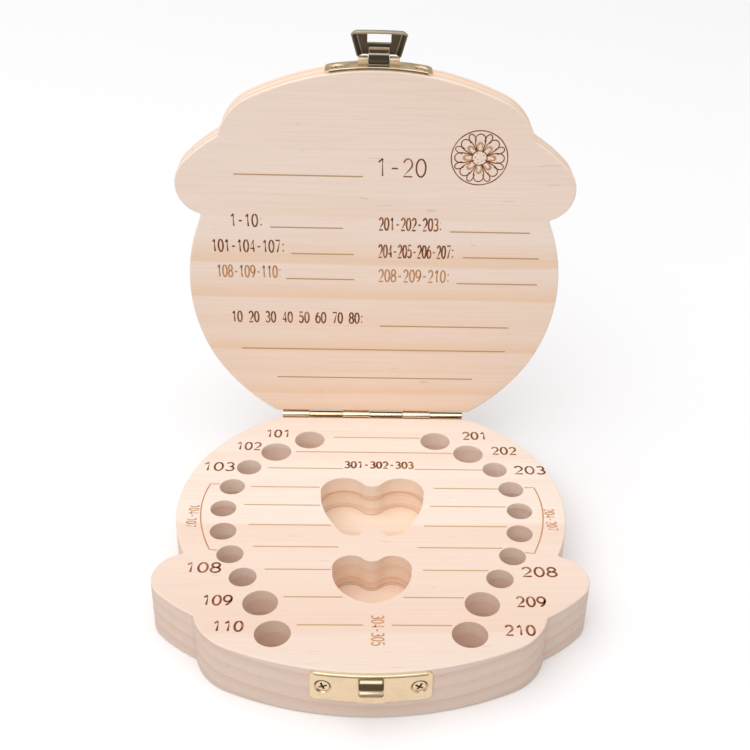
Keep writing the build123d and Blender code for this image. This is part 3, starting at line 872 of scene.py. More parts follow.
# Figures of the closed lid: what they say, where they start, their foot, width and height
LID_FIGURES = (
    ("1-20", 0.0, -27.0, 15.2, 5.8),
    ("1-10:", -46.3, -9.2, 10.8, 4.2),
    ("101-104-107:", -52.6, -0.3, 23.8, 4.2),
    ("201-202-203:", 1.0, -8.8, 20.6, 4.2),
    ("204-205-206-207:", 1.0, 0.8, 24.8, 4.4),
    ("10 20 30 40 50 60 70 80:", -47.3, 25.2, 44.0, 3.9),
)
# The two rows that are burnt more faintly
LID_FAINT_FIGURES = (
    ("108-109-110:", -51.4, 8.7, 21.2, 4.2),
    ("208-209-210:", 1.2, 9.5, 23.8, 4.3),
)


def stroke_bar(path, width, lift):
    """A flat bar along a path on a board: its half width falls to the ends as a half circle does."""
    steps = np.linalg.norm(np.diff(path, axis=0), axis=1)
    path = path[np.concatenate(([True], steps > 1e-9))]
    run = np.concatenate(([0], np.cumsum(steps[steps > 1e-9])))
    half = min(width / 2, run[-1] / 2)
    tips = half * (1 - np.cos(np.linspace(0, np.pi / 2, 5)))
    inner = run[(run > half * 1.05) & (run < run[-1] - half * 1.05)]
    at = np.unique(np.concatenate((tips, run[-1] - tips, inner)))
    middle = np.stack((np.interp(at, run, path[:, 0]), np.interp(at, run, path[:, 1])), 1)
    near_end = np.clip(np.minimum(at, run[-1] - at) / half, 0, 1)
    reach = (width / 2 * np.maximum(np.sqrt(1 - (1 - near_end) ** 2), 0.12))[:, None]
    side = leftward(np.gradient(middle, at, axis=0)) * reach
    low, high = lift
    corners = ((middle + side, high), (middle - side, high), (middle - side, low), (middle + side, low))
    rings = [np.concatenate((flat, np.full((len(at), 1), level)), 1) for flat, level in corners]
    return rod(np.stack(rings, 1))


def figure_strokes(text, start, foot, width, height, turn_deg=0):
    """Strokes of a row of figures: each one's shares scaled into its cell, the row turned about its middle."""
    pitch = width / (len(text) - 0.28)
    cell = np.array((pitch * 0.72, height))
    rows = [
        stroke * cell + (start + pitch * place_in_row, foot)
        for place_in_row, figure in enumerate(text)
        for stroke in FIGURE_SHARES[figure]
    ]
    middle = np.array((start + width / 2, foot + height / 2))
    cosine, sine = np.cos(radians(turn_deg)), np.sin(radians(turn_deg))
    spin = np.array(((cosine, sine), (-sine, cosine)))
    return [(stroke - middle) @ spin + middle for stroke in rows]


def centred_figures(text, middle_x, middle_y, height, width, turn_deg):
    """Strokes of a row of figures about its middle."""
    return figure_strokes(text, middle_x - width / 2, middle_y - height / 2, width, height, turn_deg)


def rule_strokes(rows):
    """Straight strokes from rows of a height and the ends of each line."""
    return [
        line((row[start], row[0]), (row[start + 1], row[0])) for row in rows for start in range(1, len(row), 2)
    ]


def bracket_strokes():
    """A bracket's three strokes as one: two short arms, and between them an arc through three points."""
    made = []
    for arm, bulge, tail in BLOCK_BRACKETS:
        start, (middle, end) = arm[1], bulge
        curve = quadratic(start, 2 * middle - (start + end) / 2, end, np.linspace(0, 1, 24)[:, None])
        made.append(np.concatenate((arm[:1], curve, tail)))
    return made


def engrave(context, body, rows):
    """Burn rows of strokes into a board: a piece's name, its strokes in mm, their width and material."""
    burn = settings(context, "engraving")
    for name, strokes, width, key in rows:
        bars = together(*(stroke_bar(stroke * MM, width, (-burn.sunk, burn.proud)) for stroke in strokes))
        burnt_piece(context, name, bars, body, key)


def burnt_piece(context, name, solid, body, key):
    """A burnt piece from a solid drawn about height 0, laid on the face of the block or the lid."""
    points, faces = solid
    way, level, slot_name = {"base": (1, BLOCK_HIGH.z, "pine_block"), "lid": (-1, LID_FACE_Z, "pine_lid")}[body]
    solid = (points * (1, 1, way) + (0, 0, level), faces)
    piece(name, solid, body, material_of(context, key))


FLOWER_MIDDLE = (31.8, -33.6)
FLOWER_R = 8.8
PETALS = 8


def petal_outline(bearing_deg, inner, outer, half_deg, steps=22):
    """A petal from the heart out and back: its radius swells as a sine, its bearing swings as a cosine."""
    t = np.linspace(0, np.pi, steps)
    radius = inner + (outer - inner) * np.sin(t) ** 0.75
    return ways(np.radians(bearing_deg) + np.radians(half_deg) * np.cos(t)) * radius[:, None]


def flower_strokes():
    """Outlines of a round flower: a ring, a heart, petals in two rows, and seeds on a spiral.

    They are in shares of the ring's radius. A seed's distance from the middle grows as a square root.
    """
    step = 360 / PETALS
    strokes = [arc(0, 0, 1, 1, 0, 360, 72), arc(0, 0, 0.27, 0.27, 0, 360, 36)]
    strokes += [petal_outline(i * step, 0.27, 0.88, step * 0.43) for i in range(PETALS)]
    strokes += [petal_outline((i + 0.5) * step, 0.62, 0.93, step * 0.2, 14) for i in range(PETALS)]
    feet = [ways(seed * 2.4) * 0.068 * np.sqrt(seed) for seed in range(1, 12)]
    strokes += [np.stack((foot, foot * 1.25)) for foot in feet]
    return [stroke * FLOWER_R + FLOWER_MIDDLE for stroke in strokes]


def flower_wash(burn):
    """Toasted patches: each petal's inner part, as fans of thin slabs between two radii."""
    step = 360 / PETALS
    patches = []
    for i in range(PETALS):
        outline = petal_outline(i * step, 0.3, 0.6, step * 0.36, 18)
        spine = np.linspace(0.5, 0.3, 18)[:, None] * ways(np.radians(i * step))
        flat = np.stack((outline, (outline + spine) / 2)) * FLOWER_R + FLOWER_MIDDLE
        top = np.concatenate((flat * MM, np.full((2, 18, 1), burn.proud * 0.4)), -1)
        patches.append(slab(top, top - (0, 0, burn.sunk)))
    return together(*patches)


# Pressed plates


def dimpled(plate, a, b, nominal, out, dirt, middle):
    """A screw's dimple on a plate's grid, round a middle place along the plate.

    The grid's squares become the circles inside them, less and less towards the patch's edge by an S
    curve. The dimple is as deep as a place lies inside its radius, up to its full depth, and the ring
    round it rises as a bell curve. Painted shade lies along its wall, the more the higher up, where the
    dimple's upper wall is in shade.
    """
    square = np.maximum(np.abs(a - middle), np.abs(nominal)) / plate.patch
    inside = square < 1
    radius = np.hypot(a - middle, nominal)
    circle = np.where(radius > 0, square * plate.patch / np.maximum(radius, 1e-12), 1)
    grow = np.where(inside, 1 + (circle - 1) * (1 - smooth(0.86, 1.0, square)), 1)
    a, b = middle + (a - middle) * grow, np.where(inside, b * grow, b)
    spread = np.hypot(a - middle, b)
    dip = np.clip(plate.dimple_r - spread, 0, plate.dimple_d)
    brow = plate.brow_h * np.exp(-(((spread - plate.dimple_r - plate.brow_w) / plate.brow_w) ** 2))
    wall = smooth(0.42 * MM, 0.2 * MM, np.abs(spread - plate.dimple_r + plate.dimple_d / 2))
    upper = smooth(-0.2, 0.9, b / np.maximum(spread, 1e-9))
    dirt = np.maximum(dirt, np.where(inside, wall * (0.2 + 0.75 * upper), 0))
    return a, b, out - np.where(inside, dip - brow, 0), dirt


def plate_grid(plate, width, height, bead_up, tongue):
    """A plate's face on a grid: the flat places along and up, how high it stands there and how much painted
    shade it takes.

    The edges are eased as a quarter circle is, the corners cut back as a quarter circle too, and the
    bead is half a circle high. The tongue reaches down by an S curve at each of its sides.
    """
    end = plate.bend_r * np.arcsin(width / 2 / plate.bend_r)
    screw = plate.bend_r * np.arcsin((width / 2 - plate.screw_inset) / plate.bend_r)
    patch, cells = plate.patch, 36  # the patch round a screw and its cells
    outer = dense(-end, -screw - patch, 16)[:-1]
    patch_left = np.linspace(-screw - patch, -screw + patch, cells + 1)
    tongue_edge, tongue_turn = plate.tongue_w / 2, 0.3 * MM
    stops = (-screw + patch, -tongue_edge - tongue_turn, -tongue_edge + tongue_turn, 0)
    spans = (np.linspace(start, stop, count)[1:] for start, stop, count in zip(stops, stops[1:], (16, 9, 10)))
    left = np.concatenate((outer, patch_left, *spans))
    along = np.concatenate((left, -left[-2::-1]))
    half = height / 2
    bead_middle = half - plate.bead_r
    over_bead = bead_middle - plate.bead_r * np.cos(np.linspace(0, np.pi, 13))
    low = dense(-half, -patch, 16)[:-1]
    high = np.concatenate((np.linspace(patch, half - 2 * plate.bead_r, 8)[1:-1], over_bead))
    up = np.concatenate((low, np.linspace(-patch, patch, cells + 1), high))
    from_end = np.clip(end - np.abs(along), 0, plate.corner_r)
    cut = plate.corner_r - np.sqrt(plate.corner_r**2 - (plate.corner_r - from_end) ** 2)
    lowest = -half + cut
    if tongue:
        lowest = lowest - plate.tongue_h * smooth(-tongue_turn, tongue_turn, tongue_edge - np.abs(along))
    a, b = np.meshgrid(along, up, indexing="ij")
    stretch_high = ((half - cut - patch) / (half - patch))[:, None]
    stretch_low = ((-patch - lowest) / (half - patch))[:, None]
    nominal = b.copy()
    b = np.where(nominal > patch, patch + (nominal - patch) * stretch_high, b)
    b = np.where(nominal < -patch, -patch + (nominal + patch) * stretch_low, b)
    edge = np.minimum(end - np.abs(a), np.minimum((half - cut)[:, None] - b, b - lowest[:, None]))
    near = np.clip(edge / plate.ease, 0, 1)
    over = np.clip(1 - ((nominal - bead_middle) / plate.bead_r) ** 2, 0, 1)
    bead_run = smooth(plate.bead_end, plate.bead_end + plate.bead_fade, end - np.abs(a))
    out = plate.sheet_t - plate.ease + plate.ease * np.sqrt(1 - (1 - near) ** 2)
    out += plate.bead_r * np.sqrt(over) * bead_run
    # Painted shade: a dark line under the bead's root, and one along the plate's far edge past the bead, darker
    # on the latch
    root = bead_middle - plate.bead_r * 1.25
    dirt = smooth(0.46 * MM, 0.16 * MM, np.abs(nominal - root)) * 0.9
    foot_painted_shade = 0.8 if bead_up < 0 else 0.3
    dirt = np.maximum(dirt, foot_painted_shade * smooth(0.3, 0.1, (half - nominal) / plate.bead_r)) * bead_run
    for middle in (-screw, screw):
        a, b, out, dirt = dimpled(plate, a, b, nominal, out, dirt, middle)
    return a, b * bead_up, out, dirt


def bent_round(plate, along, up, out, middle_z):
    """Flat places carried round the front edges: an arc's bearing is the place along it over the radius."""
    centre_y = BLOCK_LOW.y + plate.bend_r
    bearing = along / plate.bend_r
    radius = plate.bend_r + out
    return np.stack((radius * np.sin(bearing), centre_y - radius * np.cos(bearing), middle_z + up), -1)


def pressed_plate(plate, node_name, height, bead_up, tongue):
    """A plate bent round the front edges, with a bead along one edge and two dimples."""
    low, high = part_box(node_name)
    along, up, out, dirt = plate_grid(plate, high.x - low.x, height, bead_up, tongue)
    middle_z = plate_middle(bead_up, height)
    face, back = (bent_round(plate, along, up, layer, middle_z) for layer in (out, out * 0))
    return slab(face, back), dirt


# The plates: from a board's face to a plate's edge, from the wood to a nose or a knuckle, and their sizes
PLATE_INSET = 0.4 * MM
PLATE_GAP = 0.05 * MM
PLATE_W = 32.4 * MM
CATCH_H = 10.0 * MM
LATCH_H = 9.2 * MM
# From a hinge leaf's edge to its nails
NAIL_INSET = 3.1 * MM


def plate_middle(bead_up, height):
    """The height of a plate's middle: just below the block's top or just above the closed lid's face."""
    if bead_up > 0:
        return BLOCK_HIGH.z - PLATE_INSET - height / 2
    return LID_FACE_Z + PLATE_INSET + height / 2


def nose_section(plate):
    """The catch's nose, as out from the plate's back and down from the block's top.

    A shallow brow, a steep slope, a blunt tip and a short underside, with each corner rounded.
    """
    depth = plate.nose_under - plate.nose_shelf
    shares = ((0, 0), (0.18, 0.0), (0.5, 0.09), (0.8, 0.55), (0.98, 0.74), (0.99, 0.94), (0.88, 1.0), (0, 1.0))
    corners = np.array(shares) * (plate.nose_reach, -depth) - (0, plate.nose_shelf)
    return rounded(corners, 0.4 * MM, 6)[::-1]


def rolled_section(middle, radius, thickness, tail, leave_deg, turn_deg):
    """A strip rolled round a pin: an arc about the pin's middle, then straight on to the tail."""
    line_r = radius - thickness / 2
    curl = ways(np.radians(np.linspace(leave_deg, leave_deg + turn_deg, 34))) * line_r + middle
    run = np.linspace(0, 1, 6)[:-1, None]
    straight = np.asarray(tail) * (1 - run) + curl[0] * run
    return strip(np.concatenate((straight, curl)), thickness)


def brass_piece(context, name, solid, body, replaced, key="bright_brass", marks=None):
    """A finished piece of plated metal that takes the place of one node."""
    return piece(name, solid, body, material_of(context, key), [replaced], marks)


# Operators


class TOOTHBOX_OT_boards(bpy.types.Operator):
    """Give the block and the lid their pine"""

    bl_idname = "toothbox.boards"
    bl_label = "Pine Boards"

    def execute(self, context):
        for node_name, key in (("base_block", "pine_of_block"), ("lid_board", "pine_of_lid")):
            frame["nodes"][node_name].material_slots[0].material = material_of(context, key)
        return {"FINISHED"}


class TOOTHBOX_OT_block_engraving(bpy.types.Operator):
    """Engrave the block's ruled lines, brackets and figures"""

    bl_idname = "toothbox.block_engraving"
    bl_label = "Block Engraving"

    def execute(self, context):
        burn = settings(context, "engraving")
        figures, turned = (
            [stroke for row in BLOCK_FIGURES if (row[-1] != 0) == wanted for stroke in centred_figures(*row)]
            for wanted in (False, True)
        )
        rows = (
            ("block_rules", rule_strokes(BLOCK_RULES), burn.rule_w, "burnt_rule"),
            ("block_brackets", bracket_strokes(), burn.rule_w, "faint_figure"),
            ("block_figures", figures, burn.figure_w, "burnt_figure"),
            ("block_turned_figures", turned, burn.turned_figure_w, "faint_figure"),
        )
        engrave(context, "base", rows)
        return {"FINISHED"}


class TOOTHBOX_OT_lid_engraving(bpy.types.Operator):
    """Engrave the lid's ruled lines, figures and flower"""

    bl_idname = "toothbox.lid_engraving"
    bl_label = "Lid Engraving"

    def execute(self, context):
        burn = settings(context, "engraving")
        # The lid's face looks down when it is closed, so a figure's up is the board's front
        figures, faint = (
            [
                stroke * (1, -1)
                for text, start, foot, width, height in rows
                for stroke in figure_strokes(text, start, -foot, width, height)
            ]
            for rows in (LID_FIGURES, LID_FAINT_FIGURES)
        )
        rows = (
            ("lid_rules", rule_strokes(LID_RULES), burn.rule_w, "burnt_rule"),
            ("lid_figures", figures, burn.lid_figure_w, "burnt_figure"),
            ("lid_faint_figures", faint, burn.lid_figure_w, "faint_figure"),
            ("lid_flower", flower_strokes(), burn.flower_w, "burnt_figure"),
        )
        engrave(context, "lid", rows)
        burnt_piece(context, "lid_flower_wash", flower_wash(burn), "lid", "toasted_wash")
        return {"FINISHED"}


class TOOTHBOX_OT_plates(bpy.types.Operator):
    """Press the catch plate with its nose and the latch plate with its knuckles"""

    bl_idname = "toothbox.plates"
    bl_label = "Latch Plates"

    def execute(self, context):
        plate, lever = settings(context, "plate"), settings(context, "lever")
        catch, dirt = pressed_plate(plate, "catch_plate", CATCH_H, 1, True)
        nose = nose_section(plate) * (-1, 1) + (BLOCK_LOW.y - PLATE_GAP, BLOCK_HIGH.z)
        nose = bar(nose, -plate.nose_w / 2, plate.nose_w / 2, plate.nose_ease)
        marks = {"dirt": np.concatenate((dirt.ravel(), np.zeros(dirt.size), self.nose_painted_shade(plate, nose[0])))}
        catch = together(catch, nose)
        brass_piece(context, "catch_plate_pressed", catch, "base", "catch_plate", marks=marks)
        latch, dirt = pressed_plate(plate, "latch_plate", LATCH_H, -1, False)
        inner = lever.strap_w / 2 + plate.knuckle_play
        tail = (BLOCK_LOW.y - PLATE_GAP - plate.sheet_t / 2, LATCH.z - plate.knuckle_r + 0.35 * MM)
        rolled = (LATCH.y, LATCH.z), plate.knuckle_r, plate.knuckle_t, tail
        section = rolled_section(*rolled, leave_deg=-80, turn_deg=-300)
        for start in (-inner - plate.knuckle_l, inner):
            latch = together(latch, bar(section, start, start + plate.knuckle_l, plate.knuckle_ease))
        marks = {"dirt": padded_to(dirt, len(latch[0]))}
        brass_piece(context, "latch_plate_pressed", latch, "lid", "latch_plate", "satin_brass", marks)
        return {"FINISHED"}

    @staticmethod
    def nose_painted_shade(plate, points):
        """Painted shade and painted dark reflections on the nose by how far down it a point lies: bands under
        the brow and under the tip.

        It is read from straight lines drawn between set places.
        """
        down = (BLOCK_HIGH.z - plate.nose_shelf - points[:, 2]) / (plate.nose_under - plate.nose_shelf)
        places = (0.08, 0.15, 0.5, 0.58, 0.68, 0.74, 0.84, 0.9)
        return np.interp(down, places, (0.2, 0.94, 0.94, 0, 0, 0.5, 0.6, 0.95))


class TOOTHBOX_OT_screws(bpy.types.Operator):
    """Turn the four cross-headed screws"""

    bl_idname = "toothbox.screws"
    bl_label = "Latch Screws"

    def execute(self, context):
        plate, screw = settings(context, "plate"), settings(context, "screw")
        for prefix, height, bead_up, body in (("catch", CATCH_H, 1, "base"), ("latch", LATCH_H, -1, "lid")):
            for side, word in ((-1, "left"), (1, "right")):
                (points, faces), dirt = self.turned_screw(plate, screw, turn=0.5 + side * 0.3 + bead_up * 0.2)
                bearing = side * np.arcsin((PLATE_W / 2 - plate.screw_inset) / plate.bend_r)
                out = (np.sin(bearing), -np.cos(bearing), 0)
                centre = np.array((0, BLOCK_LOW.y + plate.bend_r, plate_middle(bead_up, height)))
                points = on_seat(points, centre + plate.bend_r * np.array(out), out)
                name = f"{prefix}_screw_{word}"
                brass_piece(context, name + "_turned", (points, faces), body, name, marks={"dirt": dirt})
        return {"FINISHED"}

    @staticmethod
    def turned_screw(plate, screw, turn):
        """A screw about its axis: a crowned head less a cross, a cone, a threaded shank and a tip.

        The cross is as deep as the product of how far a point lies inside its arms each way, and the
        thread is a wave of the height less the bearing.
        """
        rim_h = plate.sheet_t - screw.head_sink
        neck_h = rim_h - (screw.head_r - screw.shank_r)
        foot_h = plate.sheet_t - screw.screw_l
        crown_rows, shank_rows, around = 44, 70, 96
        tip_l, tip_r = 0.8 * MM, 0.25 * MM
        head_r = np.linspace(0, screw.head_r, crown_rows)
        crown = rim_h + screw.crown_h * (1 - (head_r / screw.head_r) ** 2)
        shank_h = np.linspace(neck_h, foot_h + tip_l, shank_rows)
        radii = np.concatenate((head_r, [screw.head_r], np.full(shank_rows, screw.shank_r), [tip_r, 0]))
        heights = np.concatenate((crown, [rim_h - 0.04 * MM], shank_h, [foot_h, foot_h]))
        rings = lathe(radii, heights, around)
        head, shank = rings[:crown_rows], rings[crown_rows + 1 :][:shank_rows]
        x, y = head[..., 0], head[..., 1]
        c, s = np.cos(turn), np.sin(turn)
        u, v = np.abs(x * c + y * s), np.abs(y * c - x * s)
        soft = 0.08 * MM
        arms = [
            smooth(-soft, soft, screw.cross_w / 2 - a) * smooth(-soft * 3, soft, screw.cross_l / 2 - b)
            for a, b in ((u, v), (v, u))
        ]
        cross = np.maximum(*arms)
        head[..., 2] -= screw.cross_d * cross
        bearing = np.linspace(0, 1, around, endpoint=False)
        wave = np.abs(((shank_h[:, None] / screw.thread_pitch - bearing) % 1) - 0.5) * 2
        fade = smooth(neck_h, neck_h - 1.2 * MM, shank_h)[:, None]
        shank[..., :2] *= (1 - screw.thread_h * wave * fade / screw.shank_r)[..., None]
        # Painted shade in the recess of the cross
        dirt = np.zeros(rings.shape[:2])
        dirt[:crown_rows] = cross
        return rod(rings), dirt


class TOOTHBOX_OT_hinge(bpy.types.Operator):
    """Roll the hinge's leaves and turn its pin and nails"""

    bl_idname = "toothbox.hinge"
    bl_label = "Hinge"

    def execute(self, context):
        hinge, screw = settings(context, "hinge"), settings(context, "screw")
        pair = hinge.lid_knuckle_l + hinge.base_knuckle_l + 2 * hinge.knuckle_gap
        length = 3 * pair - hinge.knuckle_gap
        lid_starts = -length / 2 + pair * np.arange(3)
        base_starts = lid_starts + hinge.lid_knuckle_l + hinge.knuckle_gap
        for way, starts, knuckle_l, body in (
            (-1, base_starts, hinge.base_knuckle_l, "base"),
            (1, lid_starts, hinge.lid_knuckle_l, "lid"),
        ):
            name = f"hinge_{body}_leaf"
            solid = together(*self.leaf(hinge, way, starts, knuckle_l, length))
            marks = self.knuckle_marks(hinge, at_rest(solid[0], body), body == "lid")
            brass_piece(context, name + "_rolled", solid, body, name, marks=marks)
            self.nails(context, f"hinge_{body}_nail", hinge, screw, way, body)
        brass_piece(context, "hinge_pin_drawn", pin(hinge, length, HINGE), "base", "hinge_pin")
        return {"FINISHED"}

    @staticmethod
    def leaf(hinge, way, starts, knuckle_l, length):
        """A leaf's plate, and its knuckles rolled from the same sheet."""
        sheet = hinge.sheet_t
        start_h = hinge.barrel_r + hinge.knuckle_gap
        low, high = BLOCK_HIGH.y, BLOCK_HIGH.y + sheet
        corners = [(low, start_h), (high, start_h), (high, hinge.reach), (low, hinge.reach)]
        plate = rounded(corners, hinge.ease, 3) * (1, way) + (0, HINGE.z)
        tail = ((low + high) / 2 - HINGE.y, (start_h + 0.3 * MM))
        section = rolled_section((0, 0), hinge.barrel_r, sheet * 0.98, tail, leave_deg=156, turn_deg=-318)
        knuckle = section * (1, way) + (HINGE.y, HINGE.z)
        solids = [bar(plate, -length / 2, length / 2, hinge.ease)]
        return solids + [bar(knuckle, start, start + knuckle_l, hinge.ease) for start in starts]

    @staticmethod
    def knuckle_marks(hinge, points, highlit_above):
        """Painted shade along the gap under the barrel and, on the block's knuckles, along the gap above them;
        on the lid's knuckles a painted highlight along the top. Each is a smooth step of the height angle seen
        from the front.
        """
        out, up = HINGE.y - points[:, 1], points[:, 2] - HINGE.z
        bearing = np.degrees(np.arctan2(up, out))
        rim = smooth(hinge.barrel_r * 0.8, hinge.barrel_r * 0.95, np.hypot(out, up))
        rim *= np.hypot(out, up) < hinge.barrel_r * 1.05
        # Painted shade along the gap under the barrel
        low = smooth(18, 8, np.abs(bearing + 32))
        # Painted shade along the gap above the barrel
        high = smooth(66, 78, bearing)
        if highlit_above:
            # On the lid's knuckles a painted highlight along the top
            return {"dirt": low * rim, "wear": smooth(38, 30, np.abs(bearing - 80)) * rim}
        return {"dirt": np.maximum(low, high) * rim}

    @staticmethod
    def nails(context, prefix, hinge, screw, way, body):
        """Round-headed nails: a domed head and a tapered shank."""
        dome, shank_r = np.linspace(0, np.pi / 2, 12), screw.nail_shank_r
        tip_l, tip_r = 1 * MM, 0.05 * MM
        radii = [*(screw.nail_head_r * np.sin(dome)), screw.nail_head_r, shank_r, shank_r, tip_r]
        crown = screw.nail_head_h * (0.3 + 0.7 * np.cos(dome))
        points, faces = rod(lathe(radii, [*crown, 0, 0, tip_l - screw.nail_l, -screw.nail_l], 32))
        low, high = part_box(prefix + "_left")
        middle = abs((low.x + high.x) / 2)
        for word, x in (("left", -middle), ("middle", 0), ("right", middle)):
            foot = (x, BLOCK_HIGH.y + hinge.sheet_t, HINGE.z + way * (hinge.reach - NAIL_INSET))
            name = f"{prefix}_{word}"
            brass_piece(context, name + "_domed", (on_seat(points, foot, (0, 1, 0)), faces), body, name)


def pin(hinge, length, axis):
    """A drawn pin along X with eased ends."""
    section = ways(np.linspace(0, 2 * np.pi, 40, endpoint=False)) * hinge.pin_r + axis[1:]
    return bar(section, -length / 2, length / 2, hinge.pin_ease)


class TOOTHBOX_OT_lever(bpy.types.Operator):
    """Press the lever from one sheet and draw its pin"""

    bl_idname = "toothbox.lever"
    bl_label = "Latch Lever"

    def execute(self, context):
        lever, hinge, plate = (settings(context, name) for name in ("lever", "hinge", "plate"))
        points, faces, wear = self.sheet(lever)
        solid, marks = (points + (0, LATCH.y, LATCH.z), faces), {"wear": wear}
        plating = material_of(context, "lever_plating")
        made = piece("latch_lever_pressed", solid, "lever", plating, ["latch_lever"], marks)
        made.data.materials.append(material_of(context, "rubbed_plating"))
        wall = made.modifiers.new("sheet", "SOLIDIFY")
        wall.thickness, wall.offset, wall.use_even_offset = lever.sheet_t, -1, True
        wall.material_offset_rim = 1
        ease = made.modifiers.new("eased edges", "BEVEL")
        ease.width, ease.segments = lever.edge_ease, 2
        ease.limit_method, ease.angle_limit = "ANGLE", radians(50)
        length = lever.strap_w + 2 * (plate.knuckle_play + plate.knuckle_l)
        brass_piece(context, "latch_pin_drawn", pin(hinge, length, LATCH), "lid", "latch_pin")
        return {"FINISHED"}

    @staticmethod
    def sections(lever, down):
        """Half sections of the channel at places down it, and how many columns its flange and its bend take.

        Each goes from the rim straight up the flange, round the bend as a quadratic curve does, and over
        the flat to the middle by way of the window's edge and the strap's.
        """
        share_down = (down - lever.near) / (lever.far - lever.near)
        flat = (lever.near_flat_w + (lever.far_flat_w - lever.near_flat_w) * share_down) / 2
        rim = (lever.near_rim_w + (lever.far_rim_w - lever.near_rim_w) * share_down) / 2
        level = np.zeros_like(flat)
        knee, rim_end = np.stack((flat, level)), np.stack((rim, level + lever.rim_drop))
        bend_start = knee + (rim_end - knee) / np.linalg.norm(rim_end - knee, axis=0) * lever.bend
        bend_end = np.stack((flat - lever.bend, level))
        flange = [bend_start + (rim_end - bend_start) * t for t in np.linspace(1, 0, 5)[:-1]]
        curve = [quadratic(bend_start, knee, bend_end, t) for t in np.linspace(0, 1, 6)]
        stops = (lever.window_w / 2, *(lever.strap_w / 2 * np.array((1, 0.9, 0.6, 0.3, 0))))
        return np.stack(flange + curve + [np.stack((level + x, level)) for x in stops]), len(flange), len(curve)

    @staticmethod
    def strap_path(lever):
        """The strap's outer face from its free end, and how many of its points come before the fold.

        It lies flat along the body's inner face, then turns round the pin in an arc and onto the body.
        """
        fold = np.array((2.05 * lever.sheet_t - lever.strap_r, -lever.fold))
        tail = np.linspace((fold[0], -lever.strap_end), fold - (0, 0.25 * MM), 7)
        curl = arc(0, 0, lever.strap_r, lever.strap_r, -20, 180, 22)
        run = np.linspace(0, 1, 5)[:-1, None]
        to_curl, onto_body = fold * (1 - run) + curl[0] * run, [(-lever.strap_r, -lever.near * 0.5)]
        return np.concatenate((tail, to_curl, curl, onto_body)), len(tail)

    @staticmethod
    def lip(lever, last, edge):
        """Rows of the end lip beyond the channel's last row, whose bend ends at the edge column.

        It bends down from the flat as a quarter circle does and goes straight on. Its ends meet the flanges.
        """
        turned, bend = np.linspace(0, np.pi / 2, 5)[1:], lever.bend
        out = np.append(bend * np.sin(turned), (bend, bend))
        drop = np.append(bend * (1 - np.cos(turned)), np.array((0.5, 1)) * (lever.lip_l - bend) + bend)
        rows = np.repeat(last[None], len(out), 0)
        rows[..., 1] = drop[:, None] - lever.strap_r
        rows[..., 2] = -lever.far - out[:, None]
        start = np.array((abs(last[edge, 0]), -lever.strap_r, -lever.far))
        side_out, side_drop = np.abs(last[: edge + 1, 0]) - start[0], last[: edge + 1, 1] - start[1]
        corner = drawn_corner(side_out, side_drop, out, drop) + start
        rows[:, -edge - 1 :] = corner[:, ::-1]
        rows[:, : edge + 1] = corner * (-1, 1, 1)
        return rows

    def sheet(self, lever):
        """The outer face of the lever about its pin, as rows from the strap, down the channel, to the lip.

        Across, a row goes from rim to rim by flange, bend and flat. The faces in the window and beside
        the strap are left out. The lip and the channel's end arch as the square of the place across.
        """
        over_window = np.linspace(lever.window_near, lever.window_far, 6)
        down = np.concatenate((np.linspace(lever.near, lever.window_near, 7)[:-1], over_window, [lever.far]))
        half, flange_columns, bend_columns = self.sections(lever, down)
        across = np.concatenate((half * np.array((-1, 1))[:, None], half[-2::-1]))
        outwards = across[:, 1].T - lever.strap_r
        body = np.stack((across[:, 0].T, outwards, np.broadcast_to(-down[:, None], outwards.shape)), -1)
        path, tail_rows = self.strap_path(lever)
        curl = np.zeros((len(path), *body.shape[1:]))
        curl[:, :, 0], curl[:, :, 1:] = body[0, :, 0], path[:, None]
        edge, body_row, lip_row = flange_columns + bend_columns - 1, len(curl), len(curl) + len(body)
        rows = np.concatenate((curl, body, self.lip(lever, body[-1], edge)))
        beyond = rows[lip_row - 1 :]
        beyond[..., 2] += lever.lip_arch * (beyond[..., 0] * 2 / lever.far_rim_w) ** 2
        window_ends = (lever.window_near, lever.window_far)
        first_open, first_closed = (body_row + int(np.argmin(np.abs(down - end))) for end in window_ends)
        number = np.arange(len(rows) - 1)[:, None]
        x = np.abs(rows[:-1, :, 0])
        side = np.maximum(x[:, :-1], x[:, 1:])
        beside_strap = (number < body_row) & (side > lever.strap_w / 2 + 1e-6)
        in_window = (number >= first_open) & (number < first_closed) & (side < lever.window_w / 2 + 1e-6)
        faces = np.array(grid_quads(*rows.shape[:2])).reshape(*side.shape, 4)
        used, kept = np.unique(faces[~(beside_strap | in_window)], return_inverse=True)
        # Lighter, as rubbed metal, along the bends, on the lip and along the strap's edges and free end; the
        # bright line across the strap's fold is a painted highlight
        wear = np.zeros(rows.shape[:2])
        bend_middle = flange_columns + bend_columns // 2
        for column in (bend_middle - 1, bend_middle):
            wear[:, [column, -1 - column]] = 0.2
        wear[lip_row:] = 0.25
        wear[:tail_rows, [edge + 2, -edge - 3]] = 0.45
        wear[:3] = 0.5
        # Painted highlight along the strap's fold
        wear[tail_rows] = 0.95
        return rows.reshape(-1, 3)[used], kept.reshape(-1, 4).tolist(), wear.reshape(-1)[used]


